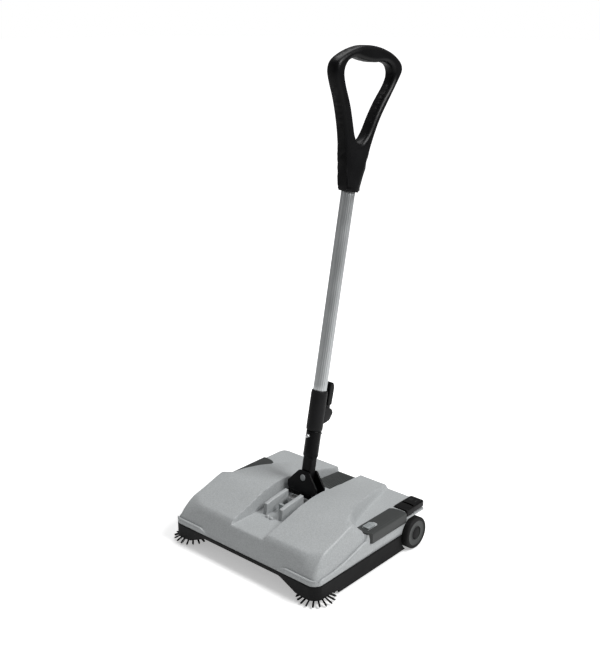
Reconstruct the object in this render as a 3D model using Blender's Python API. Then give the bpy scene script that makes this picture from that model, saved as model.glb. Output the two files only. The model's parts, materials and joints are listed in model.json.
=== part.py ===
"""Battery floor sweeper with a main roller, two side brushes, a drop-out dust bin and a telescopic handle.

Metres, +Z up. X is left to right, -Y is the way the sweeper is pushed. While it is built, y is counted from
the front of the body; at the end everything is moved along Y, so that the origin lies under the box's middle.
"""

import math

import bmesh
import bpy
import numpy as np
from mathutils import Matrix, Vector

# ---- driving dimensions ------------------------------------------------------------------------------------
BODY_WIDTH = 0.346
BODY_DEPTH = 0.303
CORNER_RADIUS = 0.018
COVER_WALL = 0.0025
RIM_HEIGHT = 0.038            # joint between the cover and the chassis, above the floor
LIP_HEIGHT = 0.047            # top of the cover's lip at the front
SHOULDER_HEIGHT = 0.079       # flat shoulders on both sides, at the rear
CROWN_HEIGHT = 0.1068         # highest line of the arched top
CROWN_Y = 0.155
BROW_Y = 0.022                # top of the sloping front wall
BROW_HEIGHT = 0.0767
TAIL_HEIGHT = 0.0845          # arched top at the rear edge
TROUGH_HALF = 0.042
TROUGH_FLOOR = 0.070
PANEL_HEIGHT = 0.078          # top of the battery cover
PANEL_LENGTH = 0.075
PANEL_FRONT_HALF = 0.0335     # the battery cover narrows towards the rear
PANEL_REAR_HALF = 0.0255
PANEL_REAR_WALL = 0.0035      # left standing behind the battery cover
PANEL_THICKNESS = 0.0024
PANEL_SUNK = 0.0010           # how far the cover's face lies below the trough floor round it
PANEL_LEDGE = 0.0040          # width of the ledge that the cover rests on
PANEL_RIB = 0.0009            # half the width of a rib
RIB_X = 0.0185                # two ribs stand in the trough, ahead of the handle
RIB_FRONT = 0.086
RIB_REAR = 0.146
INSERT_FRONT = 0.1435         # dark insert on each shoulder
INSERT_LENGTH = 0.095
BUTTON_Y = 0.163
BUTTON_TRAVEL = 0.005
BUTTON_LENGTH = 0.024
BUTTON_WIDTH = 0.015
SWITCH_LENGTH = 0.0548        # foot switch on the right rear corner
PEDAL_LENGTH = 0.0338
PEDAL_DROP = 0.0022           # gap between the pedal's skirt and its seat
SWITCH_BASE = 0.0680
SWITCH_TOP = 0.0825
SCREW_RADIUS = 0.0016
SCREW_INSET = 0.018
SCREW_YS = (0.120, 0.222)
BOSS_LOW = 0.041
SOCKET_X = -0.105             # charging socket in the rear wall
SOCKET_HEIGHT = 0.058
SOCKET_RADIUS = 0.0055

ROLLER_RADIUS = 0.029
ROLLER_LENGTH = 0.212
ROLLER_CORE = 0.015
ROLLER_Y = 0.078
SHAFT_RADIUS = 0.003
BEARING_RADIUS = 0.008
FLOOR_GAP = 0.0015            # bristles and skirts stop this far above the floor
SKIRT_GAP = 0.0035
SIDE_BRUSH_REACH = 0.0358     # tip radius of a side brush
SIDE_BRUSH_INSET = 0.0213     # its spindle, in from the side of the body
SIDE_BRUSH_Y = 0.0261
TUFTS = 18
SPINDLE_RADIUS = 0.003
SIDE_BELT_RADIUS = 0.0014
SIDE_SHEAVE = 0.0080          # belt seat on the roller's shaft
SIDE_PULLEY_GROOVE = 0.0085
SIDE_PULLEY_HEIGHT = 0.041

BIN_LENGTH = 0.110
BIN_Y = 0.120
BIN_WIDTH = 0.248
BIN_TOP = 0.060
BIN_WALL = 0.002
DECK_HEIGHT = 0.0665          # top of the plate over the bin

WHEEL_RADIUS = 0.030
RIM_RADIUS = 0.0225
WHEEL_WIDTH = 0.022
WHEEL_PROUD = 0.011           # how far a wheel stands out of the body's side
WHEEL_FROM_REAR = 0.032
AXLE_RADIUS = 0.004
FRONT_ROLLER_RADIUS = 0.008
FRONT_ROLLER_WIDTH = 0.018
FRONT_ROLLER_Y = 0.100

LEAN = math.radians(11.8)     # handle leans back when it is parked
PITCH_Y = 0.1712
PITCH_HEIGHT = 0.086
YOKE_BARREL = 0.0085
YOKE_WIDTH = 0.070
YOKE_DEPTH = 0.027
YOKE_PLATE = 0.0045
PIN_RADIUS = 0.003
RIVET_RADIUS = 0.004
ROLL_OFFSET = 0.0327          # neck pivot above the pitch pivot, along the handle
NECK_WIDTH = 0.022
FITTING_RADIUS = 0.014
FITTING_TOP = 0.1222
TUBE_RADIUS = 0.0125
TUBE_WALL = 0.0013
TUBE_PLAY = 0.0004            # radial, between the inner and the outer tube
INNER_BASE = 0.082
INNER_TUBE_TOP = 0.505
BOLT_RADIUS = 0.0018
BOLT_HEIGHT = 0.0803
BOLT_HEAD = 0.0036            # radius of the head and of the nut
BOLT_END = 0.0095             # how far the thread stands out of the neck
SLEEVE_RADIUS = 0.0152
SLEEVE_TOP = 0.1977
LEVER_OUT = 0.0095            # lever pin, out from the sleeve
LEVER_Z = 0.152
LEVER_PIN = 0.0015
GRIP_BASE = 0.5548
GRIP_THICKNESS = 0.027
GRIP_SOCKET_DEPTH = 0.045
GRIP_FILLET = 0.007
LATCH_NOSE = 0.009
# The loop of the grip, seen from the side: (y, height above its base). It is level when the handle is parked.
GRIP_OUTER = ((-0.0178, 0.0040), (-0.0285, 0.0480), (-0.0425, 0.1010), (-0.0645, 0.1500), (-0.0850, 0.1810),
              (-0.0935, 0.1990), (-0.0900, 0.2170), (-0.0640, 0.2360), (-0.0240, 0.2535), (0.0200, 0.2585),
              (0.0600, 0.2550), (0.0880, 0.2440), (0.0955, 0.2300), (0.0880, 0.2130), (0.0650, 0.1690),
              (0.0490, 0.1380), (0.0370, 0.1010), (0.0265, 0.0550), (0.0178, 0.0040))
GRIP_HOLE = ((0.0010, 0.0850), (0.0200, 0.1060), (0.0330, 0.1420), (0.0480, 0.1720), (0.0660, 0.2000),
             (0.0720, 0.2190), (0.0620, 0.2330), (0.0400, 0.2360), (0.0100, 0.2285), (-0.0200, 0.2270),
             (-0.0430, 0.2290), (-0.0620, 0.2190), (-0.0690, 0.2010), (-0.0600, 0.1810), (-0.0400, 0.1520),
             (-0.0270, 0.1250), (-0.0150, 0.0980))

MOTOR_RADIUS = 0.0165
MOTOR_LENGTH = 0.058
MOTOR_X = -0.088
MOTOR_FROM_REAR = 0.030
MOTOR_HEIGHT = 0.0320
PULLEY_RADIUS = 0.012
PULLEY_WIDTH = 0.006
MOTOR_PULLEY_RADIUS = 0.006
BELT_WIDTH = 0.005
BELT_THICKNESS = 0.002
GAP = 0.0003                  # between pieces that touch
RUN = 0.0004                  # radial clearance of a turning fit

HALF = BODY_WIDTH / 2
RIDGE_X = HALF - 0.013        # where the arched top turns down to the side
GROOVE_X = HALF - 0.005
NOTCH_X = HALF - 0.045        # inner end of the wedge where the top runs out to the shoulder
NOTCH_Y = 0.147
WHEEL_Y = BODY_DEPTH - WHEEL_FROM_REAR
WELL_X = HALF + WHEEL_PROUD - WHEEL_WIDTH - 0.013
WELL_RADIUS = WHEEL_RADIUS + 0.0035
SIDE_BRUSH_X = HALF - SIDE_BRUSH_INSET
BAY_HALF = BIN_WIDTH / 2 + 0.002
BELT_X = -(BAY_HALF + 0.002 + 0.0055)
ROLLER_HEIGHT = ROLLER_RADIUS + FLOOR_GAP
FRONT_ROLLER_X = HALF - 0.0225
SHEAVE_X = SIDE_BRUSH_X - SIDE_PULLEY_GROOVE - SIDE_BELT_RADIUS - GAP
MOTOR_Y = BODY_DEPTH - MOTOR_FROM_REAR
INSERT_REAR = INSERT_FRONT + INSERT_LENGTH
BUTTON_X = HALF - 0.0165
SWITCH_INNER = HALF - 0.0275
SWITCH_FRONT = BODY_DEPTH - SWITCH_LENGTH
SWITCH_SPLIT = BODY_DEPTH - PEDAL_LENGTH
BOSSES = [(x, y) for x in (SCREW_INSET - HALF, HALF - SCREW_INSET) for y in SCREW_YS]
INNER_RADIUS = TUBE_RADIUS - TUBE_WALL - TUBE_PLAY
LEVER_Y = SLEEVE_RADIUS + LEVER_OUT
LATCH_Y = PITCH_Y - YOKE_DEPTH / 2 - 0.0185

# name: (linear colour, roughness, metallic)
FINISHES = {
    "silver_abs": ((0.40, 0.42, 0.43), 0.45, 0.0),
    "dark_grey_abs": ((0.06, 0.063, 0.065), 0.5, 0.0),
    "black_abs": ((0.015, 0.015, 0.016), 0.5, 0.0),
    "light_grey_abs": ((0.36, 0.38, 0.39), 0.45, 0.0),
    "grip_plastic": ((0.012, 0.012, 0.013), 0.4, 0.0),
    "rubber": ((0.02, 0.02, 0.02), 0.8, 0.0),
    "bristle": ((0.01, 0.01, 0.01), 0.6, 0.0),
    "anodised_aluminium": ((0.55, 0.56, 0.57), 0.35, 1.0),
    "steel": ((0.55, 0.55, 0.54), 0.3, 1.0),
    "clear_bin": ((0.12, 0.12, 0.13), 0.3, 0.0),
    "battery_wrap": ((0.02, 0.05, 0.12), 0.5, 0.0),
}


# ---- helpers -----------------------------------------------------------------------------------------------
def clear_scene():
    for obj in list(bpy.data.objects):
        bpy.data.objects.remove(obj)


def finish_of(name):
    found = bpy.data.materials.get(name)
    if found:
        return found
    colour, roughness, metallic = FINISHES[name]
    material = bpy.data.materials.new(name)
    material.use_nodes = True
    shader = material.node_tree.nodes["Principled BSDF"]
    shader.inputs["Base Color"].default_value = (*colour, 1)
    shader.inputs["Roughness"].default_value = roughness
    shader.inputs["Metallic"].default_value = metallic
    return material


def add_object(name, mesh, parent, finish=None, helper=False):
    """Puts a mesh in the scene. A helper is a cutter: it is drawn as wire and isn't part of the object."""
    obj = bpy.data.objects.new(name, mesh)
    bpy.context.scene.collection.objects.link(obj)
    obj.parent = parent
    obj.hide_render = helper
    if helper:
        obj.display_type = "WIRE"
    else:
        mesh.materials.append(finish_of(finish))
        mesh.shade_smooth()
        mesh.set_sharp_from_angle(angle=math.radians(35))
    return obj


def add_axis(name, parent, place, turn=(0, 0, 0)):
    """An empty on a joint's axis."""
    empty = bpy.data.objects.new(name, None)
    bpy.context.scene.collection.objects.link(empty)
    empty.parent = parent
    empty.location = place
    empty.rotation_euler = turn
    empty.empty_display_size = 0.02
    return empty


def mesh_of(name, points, faces):
    """A mesh from points and faces, with its normals pointing out."""
    mesh = bpy.data.meshes.new(name)
    mesh.from_pydata([tuple(point) for point in points], [], [tuple(face) for face in faces])
    shape = bmesh.new()
    shape.from_mesh(mesh)
    bmesh.ops.recalc_face_normals(shape, faces=shape.faces)
    shape.to_mesh(mesh)
    shape.free()
    return mesh


def prism_mesh(name, outline, low, high, axis="Z"):
    """An outline carried from low to high along an axis: (x, y) points for Z, (x, z) for Y, (y, z) for X."""
    count = len(outline)
    place = {
        "Z": lambda a, b, c: (a, b, c),
        "Y": lambda a, b, c: (a, c, b),
        "X": lambda a, b, c: (c, a, b),
    }[axis]
    points = [place(a, b, c) for c in (low, high) for a, b in outline]
    walls = [(i, (i + 1) % count, (i + 1) % count + count, i + count) for i in range(count)]
    return mesh_of(name, points, [range(count), range(count, 2 * count), *walls])


def box_outline(low, high):
    return [(low[0], low[1]), (high[0], low[1]), (high[0], high[1]), (low[0], high[1])]


def box_mesh(name, low, high):
    low, high = [[pick(a, b) for a, b in zip(low, high)] for pick in (min, max)]
    return prism_mesh(name, box_outline(low, high), low[2], high[2])


def disc_outline(centre, radius, segments=24):
    turns = [2 * math.pi * i / segments for i in range(segments)]
    return [(centre[0] + radius * math.cos(t), centre[1] + radius * math.sin(t)) for t in turns]


def rounded_outline(low, high, radius, segments=6):
    """A rectangle with round corners."""
    outline = []
    corners = ((high[0], high[1], 0), (low[0], high[1], 1), (low[0], low[1], 2), (high[0], low[1], 3))
    for x, y, quarter in corners:
        centre = (x - math.copysign(radius, x - low[0] - 1e-9),
                  y - math.copysign(radius, y - low[1] - 1e-9))
        for i in range(segments + 1):
            turn = (quarter + i / segments) * math.pi / 2
            outline.append((centre[0] + radius * math.cos(turn), centre[1] + radius * math.sin(turn)))
    return outline


def turned_mesh(name, profile, axis="Z", segments=24, centre=(0, 0, 0)):
    """A profile of (radius, height) pairs, turned about an axis. It closes onto itself, or onto the axis."""
    rings = [(r, h) for r, h in profile]
    points, faces, starts = [], [], []
    for r, h in rings:
        starts.append(len(points))
        steps = 1 if r == 0 else segments
        points += [(r * math.cos(2 * math.pi * i / steps), r * math.sin(2 * math.pi * i / steps), h)
                   for i in range(steps)]
    loop = 0 if rings[0][0] == 0 else 1
    for k in range(len(rings) - 1 + loop):
        a, b = k, (k + 1) % len(rings)
        for i in range(segments):
            j = (i + 1) % segments
            lower = [starts[a]] if rings[a][0] == 0 else [starts[a] + i, starts[a] + j]
            upper = [starts[b]] if rings[b][0] == 0 else [starts[b] + j, starts[b] + i]
            if len(lower) + len(upper) > 2:
                faces.append(lower + upper)
    mesh = mesh_of(name, points, faces)
    turn = {"Z": Matrix(), "X": Matrix.Rotation(math.pi / 2, 4, "Y"),
            "Y": Matrix.Rotation(-math.pi / 2, 4, "X")}
    mesh.transform(Matrix.Translation(Vector(centre)) @ turn[axis])
    return mesh


def rod_profile(radius, low, high, chamfer=0.0):
    if not chamfer:
        return [(0, high), (radius, high), (radius, low), (0, low)]
    return [(0, high), (radius - chamfer, high), (radius, high - chamfer),
            (radius, low + chamfer), (radius - chamfer, low), (0, low)]


def tube_profile(inner, outer, low, high):
    return [(outer, high), (outer, low), (inner, low), (inner, high)]


def boolean(obj, operation, cutter, solver):
    modifier = obj.modifiers.new(f"{operation.lower()}_{cutter.name}", "BOOLEAN")
    modifier.operation = operation
    modifier.solver = solver
    modifier.object = cutter


class Tool:
    """Makes cutters and add-ons for one piece, each with a name that starts with the piece's name."""

    def __init__(self, obj, solver="EXACT"):
        self.obj = obj
        self.solver = solver
        self.made = 0

    def _helper(self, make, *args, **named):
        self.made += 1
        name = f"{self.obj.name}_tool_{self.made}"
        return add_object(name, make(name, *args, **named), self.obj.parent, helper=True)

    def cut(self, make, *args, **named):
        boolean(self.obj, "DIFFERENCE", self._helper(make, *args, **named), self.solver)

    def add(self, make, *args, **named):
        boolean(self.obj, "UNION", self._helper(make, *args, **named), self.solver)

    def keep(self, make, *args, **named):
        boolean(self.obj, "INTERSECT", self._helper(make, *args, **named), self.solver)


def mirrored(outline):
    return [(-x, y) for x, y in reversed(outline)]


# ---- the cover's surface -----------------------------------------------------------------------------------
def ease(value):
    value = np.clip(value, 0, 1)
    return value * value * (3 - 2 * value)


def arch(y):
    """Height of the arched top along the middle of each half."""
    tail = BODY_DEPTH - 0.303
    ys = (0, BROW_Y, 0.065, 0.107, CROWN_Y, 0.210 + tail / 2, 0.263 + tail, BODY_DEPTH)
    zs = (BROW_HEIGHT, BROW_HEIGHT, 0.088, 0.101, CROWN_HEIGHT, 0.0995, 0.092, TAIL_HEIGHT)
    return np.interp(y, ys, zs)


def shoulder(y):
    """Height of the ledge along the side: it climbs from the lip at the front to the flat shoulder."""
    return np.interp(y, (0, 0.030, NOTCH_Y, NOTCH_Y + 0.006),
                     (LIP_HEIGHT, LIP_HEIGHT, 0.069, SHOULDER_HEIGHT))


def scoop_x(y):
    """Where the arched top ends beside the shoulder. It sweeps inwards to the rear."""
    return np.interp(y, (NOTCH_Y, 0.195, 0.235, BODY_DEPTH),
                     (NOTCH_X, HALF - 0.0605, HALF - 0.0705, HALF - 0.085))


def run_out_y(x):
    """Where the arched top starts to fall to the shoulder, ahead of the side insert."""
    return np.interp(x, (NOTCH_X, HALF - 0.033, RIDGE_X), (NOTCH_Y - 0.002, 0.120, 0.1065))


def trough_half(y):
    """Half the width of the trough that the handle stands in."""
    return np.interp(y, (BROW_Y, 0.19, 0.24, BODY_DEPTH), (0.038, 0.038, 0.034, 0.026))


def cover_height(x, y):
    """Height of the cover's outside over the floor."""
    x = np.abs(x)
    top = arch(y)
    fall = np.where(x > NOTCH_X, ease((y - run_out_y(x)) / (NOTCH_Y - run_out_y(x))), 0)
    fall = np.maximum(fall, np.where(y > NOTCH_Y - 1e-9, ease((x - scoop_x(y)) / 0.006), 0))
    height = top - (top - SHOULDER_HEIGHT) * fall
    side = np.clip((x - RIDGE_X) / (GROOVE_X - RIDGE_X), 0, 1)
    height = height - np.maximum(height - shoulder(y), 0) * side
    edge = trough_half(y)
    floor = np.where(y > 0.2, PANEL_HEIGHT, TROUGH_FLOOR)
    rise = np.clip((x - edge) / 0.004, 0, 1)
    height = np.where(x < edge + 0.004, floor + (height - floor) * rise, height)
    wall = LIP_HEIGHT + (BROW_HEIGHT - LIP_HEIGHT) * np.clip((y - 0.005) / (BROW_Y - 0.005), 0, 1)
    return np.where(y < BROW_Y, np.minimum(height, wall), height)


def grid_solid(name, xs, ys, height, low):
    """A closed block with a flat underside and the given height on the grid of xs and ys."""
    gx, gy = np.meshgrid(xs, ys)
    top = np.stack([gx, gy, height(gx, gy)], -1).reshape(-1, 3)
    bottom = np.stack([gx, gy, np.full_like(gx, low)], -1).reshape(-1, 3)
    wide, deep, half = len(xs), len(ys), len(top)
    faces = []
    for j in range(deep - 1):
        for i in range(wide - 1):
            a = j * wide + i
            quad = (a, a + 1, a + wide + 1, a + wide)
            faces += [(quad[0], quad[1], quad[2]), (quad[0], quad[2], quad[3])]
    rim = [*range(wide), *[j * wide + wide - 1 for j in range(1, deep)]]
    rim += [(deep - 1) * wide + i for i in range(wide - 2, -1, -1)] + [j * wide
            for j in range(deep - 2, 0, -1)]
    faces += [(rim[k], rim[(k + 1) % len(rim)], rim[(k + 1) % len(rim)] + half, rim[k] + half)
              for k in range(len(rim))]
    faces.append([index + half for index in rim])
    points = np.concatenate([top, bottom])
    used = sorted({index for face in faces for index in face})
    place = {index: k for k, index in enumerate(used)}
    return mesh_of(name, points[used], [[place[index] for index in face] for face in faces])


def inside_height(x, y):
    """Height of the cover's inside: a wall's thickness below, and in from, the outside."""
    shifts = [(dx, dy) for dx in (-COVER_WALL, 0, COVER_WALL) for dy in (-COVER_WALL, 0, COVER_WALL)]
    around = [cover_height(x + dx, np.clip(y + dy, 0, BODY_DEPTH)) for dx, dy in shifts]
    return np.min(around, axis=0) - COVER_WALL


def cover_lines(step_in):
    """Grid lines that follow the cover's edges. step_in moves the lines of the inside."""
    half = [0, 0.030, 0.038 + step_in, 0.042 + step_in, 0.065, HALF - 0.085, HALF - 0.075, HALF - 0.064,
            HALF - 0.054, NOTCH_X, HALF - 0.038, HALF - 0.033, HALF - 0.025, RIDGE_X - step_in / 2,
            GROOVE_X - step_in, HALF - 0.9 * step_in]
    xs = [-x for x in reversed(half[1:])] + half
    ys = [0.9 * step_in, 0.005 + step_in, BROW_Y + step_in / 2, 0.040, 0.065, 0.090, 0.1065, 0.120, 0.132,
          NOTCH_Y, NOTCH_Y + 0.006, 0.170, 0.195, 0.199, 0.201, 0.218, 0.235, 0.263, 0.285,
          BODY_DEPTH - 0.9 * step_in]
    return xs, ys


def plan_outline(inset):
    low = (-HALF + inset, inset)
    high = (HALF - inset, BODY_DEPTH - inset)
    return rounded_outline(low, high, CORNER_RADIUS - inset)


# ---- the body ----------------------------------------------------------------------------------------------
def insert_outline(grow):
    """Section (x, z) of the right side insert, which wraps over the shoulder's edge."""
    inner, outer, low = HALF - 0.0305 - grow, HALF + 0.0042 + grow, 0.0595 - grow
    top, skin = SHOULDER_HEIGHT + 0.0008 + grow, 0.0026
    return [(inner, top - skin - 2 * grow), (HALF - 0.0002 - grow, top - skin - 2 * grow),
            (HALF - 0.0002 - grow, low), (outer, low), (outer, top - 0.003), (outer - 0.003, top),
            (inner, top)]


def panel_outline(grow):
    """Plan of the battery cover, which narrows towards the rear."""
    front, rear = BODY_DEPTH - PANEL_LENGTH - grow, BODY_DEPTH - PANEL_REAR_WALL + grow
    wide, narrow = PANEL_FRONT_HALF + grow, PANEL_REAR_HALF + grow
    return [(-wide, front), (wide, front), (narrow, rear), (-narrow, rear)]


def build_top_cover(root):
    xs, ys = cover_lines(0)
    cover = add_object("top_cover", grid_solid("top_cover", xs, ys, cover_height, RIM_HEIGHT), root,
                       "silver_abs")
    tool = Tool(cover, "MANIFOLD")
    tool.keep(prism_mesh, plan_outline(0), 0, 0.2)
    xs, ys = cover_lines(COVER_WALL)
    hollow = add_object("top_cover_hollow", grid_solid("hollow", xs, ys, inside_height, RIM_HEIGHT - 0.01),
                        root,
                        helper=True)
    Tool(hollow, "MANIFOLD").keep(prism_mesh, plan_outline(COVER_WALL), 0, 0.2)
    boolean(cover, "DIFFERENCE", hollow, "MANIFOLD")
    for side in (1, -1):
        window = box_outline((HALF - 0.0305 - GAP, 0.0595 - GAP), (HALF + 0.02, 0.2))
        window = window if side > 0 else mirrored(window)
        tool.cut(prism_mesh, window, INSERT_FRONT - GAP, INSERT_REAR + GAP, axis="Y")
        well = disc_outline((WHEEL_Y, WHEEL_RADIUS), WELL_RADIUS)
        reach = (side * WELL_X, side * (HALF + 0.02))
        tool.cut(prism_mesh, well, min(reach), max(reach), axis="X")
        tool.cut(box_mesh, (side * WELL_X, WHEEL_Y, 0), (side * (HALF + 0.02), BODY_DEPTH + 0.01,
                 WHEEL_RADIUS + WELL_RADIUS - 0.0002))
        tool.cut(turned_mesh, rod_profile(PIN_RADIUS + RUN, 0.030, 0.050), axis="X", segments=16,
                 centre=(0 if side > 0 else -0.080, PITCH_Y, PITCH_HEIGHT))
    tool.cut(box_mesh, (SWITCH_INNER - GAP, SWITCH_FRONT - GAP, SWITCH_BASE - GAP),
             (HALF + 0.02, BODY_DEPTH + 0.01, 0.2))
    tool.add(box_mesh, (SWITCH_INNER - 0.003, SWITCH_FRONT - 0.002, WHEEL_RADIUS + WELL_RADIUS + GAP),
             (HALF - 0.0005, BODY_DEPTH - 0.0005, SWITCH_BASE - GAP))
    seat = PANEL_HEIGHT - PANEL_SUNK - PANEL_THICKNESS - GAP
    tool.add(prism_mesh, panel_outline(PANEL_LEDGE - 0.001), seat - 0.0025, PANEL_HEIGHT - 0.0005)
    tool.cut(prism_mesh, panel_outline(GAP), seat, 0.2)
    tool.cut(prism_mesh, panel_outline(-PANEL_LEDGE), seat - 0.01, 0.2)
    tool.cut(turned_mesh, rod_profile(SOCKET_RADIUS + GAP, BODY_DEPTH - 0.02, BODY_DEPTH + 0.02), axis="Y",
             segments=20, centre=(SOCKET_X, 0, SOCKET_HEIGHT))
    for x in (-RIB_X, RIB_X):
        rib = [(RIB_FRONT, TROUGH_FLOOR - 0.001), (RIB_FRONT + 0.002, TROUGH_FLOOR + 0.021),
               (RIB_REAR, TROUGH_FLOOR + 0.023), (RIB_REAR, TROUGH_FLOOR - 0.001)]
        tool.add(prism_mesh, rib, x - 0.0045, x + 0.0045, axis="X")
    for x, y in BOSSES:
        side = math.copysign(1, x)
        tool.add(box_mesh, (x - side * 0.006, y - 0.006, BOSS_LOW),
                 (side * (HALF - 0.001), y + 0.006, BOSS_LOW + 0.015))
        tool.cut(turned_mesh, rod_profile(SCREW_RADIUS + GAP, RIM_HEIGHT, BOSS_LOW + 0.010), segments=12,
                 centre=(x, y, 0))


def housing_outline(side):
    """Front view (x, z) of a side-brush housing under the front edge."""
    inner, outer = HALF - 0.0845, HALF
    points = [(inner, RIM_HEIGHT - GAP), (inner + 0.001, 0.030), (inner + 0.006, 0.0285),
              (HALF - 0.045, 0.0130), (HALF - 0.030, 0.0110), (outer, 0.0110), (outer, RIM_HEIGHT - GAP)]
    return points if side > 0 else mirrored(points)


def build_base_chassis(root):
    top = RIM_HEIGHT - GAP
    wall = COVER_WALL
    base = add_object("base_chassis", box_mesh("base_chassis", (-HALF, BODY_DEPTH - 0.065, 0.012),
                      (HALF, BODY_DEPTH, 0.0145)), root, "black_abs")
    tool = Tool(base, "MANIFOLD")
    for side in (1, -1):
        tool.add(prism_mesh, housing_outline(side), 0, 0.064, axis="Y")
        inner = side * (HALF - 0.0525)
        tool.cut(box_mesh, (inner, wall, 0.0135), (side * (HALF - wall), 0.0615, 0.05))
        tool.cut(box_mesh, (side * (HALF - 0.092), wall, 0.0315), (inner, 0.07, 0.05))
        tool.cut(box_mesh, (side * (HALF - 0.092), ROLLER_Y - ROLLER_RADIUS - 0.003, 0),
                 (side * BAY_HALF, 0.07, 0.05))
        tool.add(box_mesh, (side * (HALF - wall), 0.060, SKIRT_GAP),
                 (side * HALF, WHEEL_Y - WELL_RADIUS + 0.014, top))
        tool.add(box_mesh, (side * BAY_HALF, 0.060, 0.012), (side * HALF, BODY_DEPTH - 0.060, 0.0145))
        tool.add(box_mesh, (side * BAY_HALF, 0.040, 0.012),
                 (side * (BAY_HALF + 0.002), BODY_DEPTH - 0.060, DECK_HEIGHT))
        tool.add(box_mesh, (side * (WELL_X - 0.002), WHEEL_Y - 0.036, 0.012),
                 (side * WELL_X, BODY_DEPTH - wall - 2 * GAP, 0.060))
        tool.add(box_mesh, (side * (TROUGH_HALF + 0.0035), PITCH_Y - 0.010, DECK_HEIGHT - 0.001),
                 (side * (TROUGH_HALF + 0.0095), PITCH_Y + 0.010, PITCH_HEIGHT + 0.009))
    tool.add(box_mesh, (-HALF + 0.08, 0, 0.0302), (HALF - 0.08, wall, top))
    tool.add(box_mesh, (-BAY_HALF, ROLLER_Y, DECK_HEIGHT - 0.002),
             (BAY_HALF, BODY_DEPTH - 0.066, DECK_HEIGHT))
    tool.add(box_mesh, (-BAY_HALF, BODY_DEPTH - 0.068, 0.012), (BAY_HALF, BODY_DEPTH - 0.066, DECK_HEIGHT))
    tool.add(box_mesh, (-HALF, BODY_DEPTH - wall, 0.012), (HALF, BODY_DEPTH, top))
    hood = DECK_HEIGHT - ROLLER_HEIGHT
    arc = [(ROLLER_Y + r * math.cos(t), ROLLER_HEIGHT + r * math.sin(t))
           for r, turns in ((hood, (90, 105, 120, 135, 150, 165, 180)),
                            (hood - 0.002, (180, 165, 150, 135, 120, 105, 90)))
           for t in map(math.radians, turns)]
    tool.add(prism_mesh, arc, -BAY_HALF, BAY_HALF, axis="X")
    for side in (1, -1):
        reach = (side * WELL_X, side * (HALF + 0.02))
        tool.cut(prism_mesh, disc_outline((WHEEL_Y, WHEEL_RADIUS), WELL_RADIUS), min(reach), max(reach),
                 axis="X")
        tool.cut(box_mesh, (side * WELL_X, WHEEL_Y - 0.002, 0),
                 (side * (HALF + 0.02), BODY_DEPTH + 0.01, 0.08))
        tool.cut(box_mesh, (side * (FRONT_ROLLER_X - FRONT_ROLLER_WIDTH / 2 - 0.001),
                            FRONT_ROLLER_Y - 0.0095, 0),
                 (side * (FRONT_ROLLER_X + FRONT_ROLLER_WIDTH / 2 + 0.001), FRONT_ROLLER_Y + 0.0095, 0.03))
        for x in (FRONT_ROLLER_X - FRONT_ROLLER_WIDTH / 2 - 0.004, FRONT_ROLLER_X + FRONT_ROLLER_WIDTH / 2
                  + 0.001):
            tool.add(box_mesh, (side * x, FRONT_ROLLER_Y - 0.005, 0.0045),
                     (side * (x + 0.003), FRONT_ROLLER_Y + 0.005, 0.0145))
        for radius, place, segments in ((0.002 + RUN, (FRONT_ROLLER_Y, FRONT_ROLLER_RADIUS), 12),
                                        (AXLE_RADIUS + GAP, (WHEEL_Y, WHEEL_RADIUS), 16),
                                        (PIN_RADIUS + GAP, (PITCH_Y, PITCH_HEIGHT), 16)):
            reach = {12: (0.100, HALF - 0.006), 16: (0.03, HALF - 0.004)}[segments]
            reach = (side * reach[0], side * reach[1])
            tool.cut(prism_mesh, disc_outline(place, radius, segments), min(reach), max(reach), axis="X")
        tool.cut(turned_mesh, rod_profile(SPINDLE_RADIUS + RUN, 0.005, 0.02), segments=16,
                 centre=(side * SIDE_BRUSH_X, SIDE_BRUSH_Y, 0))
        tool.cut(turned_mesh, rod_profile(BEARING_RADIUS + GAP, BAY_HALF - 0.001, BAY_HALF + 0.003),
                 axis="X",
                 segments=24, centre=(0 if side > 0 else -2 * BAY_HALF - 0.002, ROLLER_Y, ROLLER_HEIGHT))
    for side in (1, -1):
        tool.cut(box_mesh, (side * (BAY_HALF + 0.002), 0.050, 0.0150), (side * (HALF - 0.010), 0.070, 0.05))
    for x, y in BOSSES:
        tool.add(turned_mesh, rod_profile(0.005, 0.012, BOSS_LOW - GAP), segments=16, centre=(x, y, 0))
        tool.cut(turned_mesh, rod_profile(SCREW_RADIUS + GAP, 0.005, BOSS_LOW + 0.01), segments=12,
                 centre=(x, y, 0))
    tool.keep(prism_mesh, plan_outline(0), 0, 0.2)


def build_side_insert(root, side, name):
    outline = insert_outline(0)
    outline = outline if side > 0 else mirrored(outline)
    insert = add_object(name, prism_mesh(name, outline, INSERT_FRONT, INSERT_REAR, axis="Y"), root,
                        "dark_grey_abs")
    slot = box_outline((BUTTON_X - 0.005, BUTTON_Y - 0.010),
                       (BUTTON_X + 0.005, BUTTON_Y + 0.012 + BUTTON_TRAVEL))
    slot = slot if side > 0 else mirrored(slot)
    Tool(insert).cut(prism_mesh, slot, 0.06, 0.2)


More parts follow.
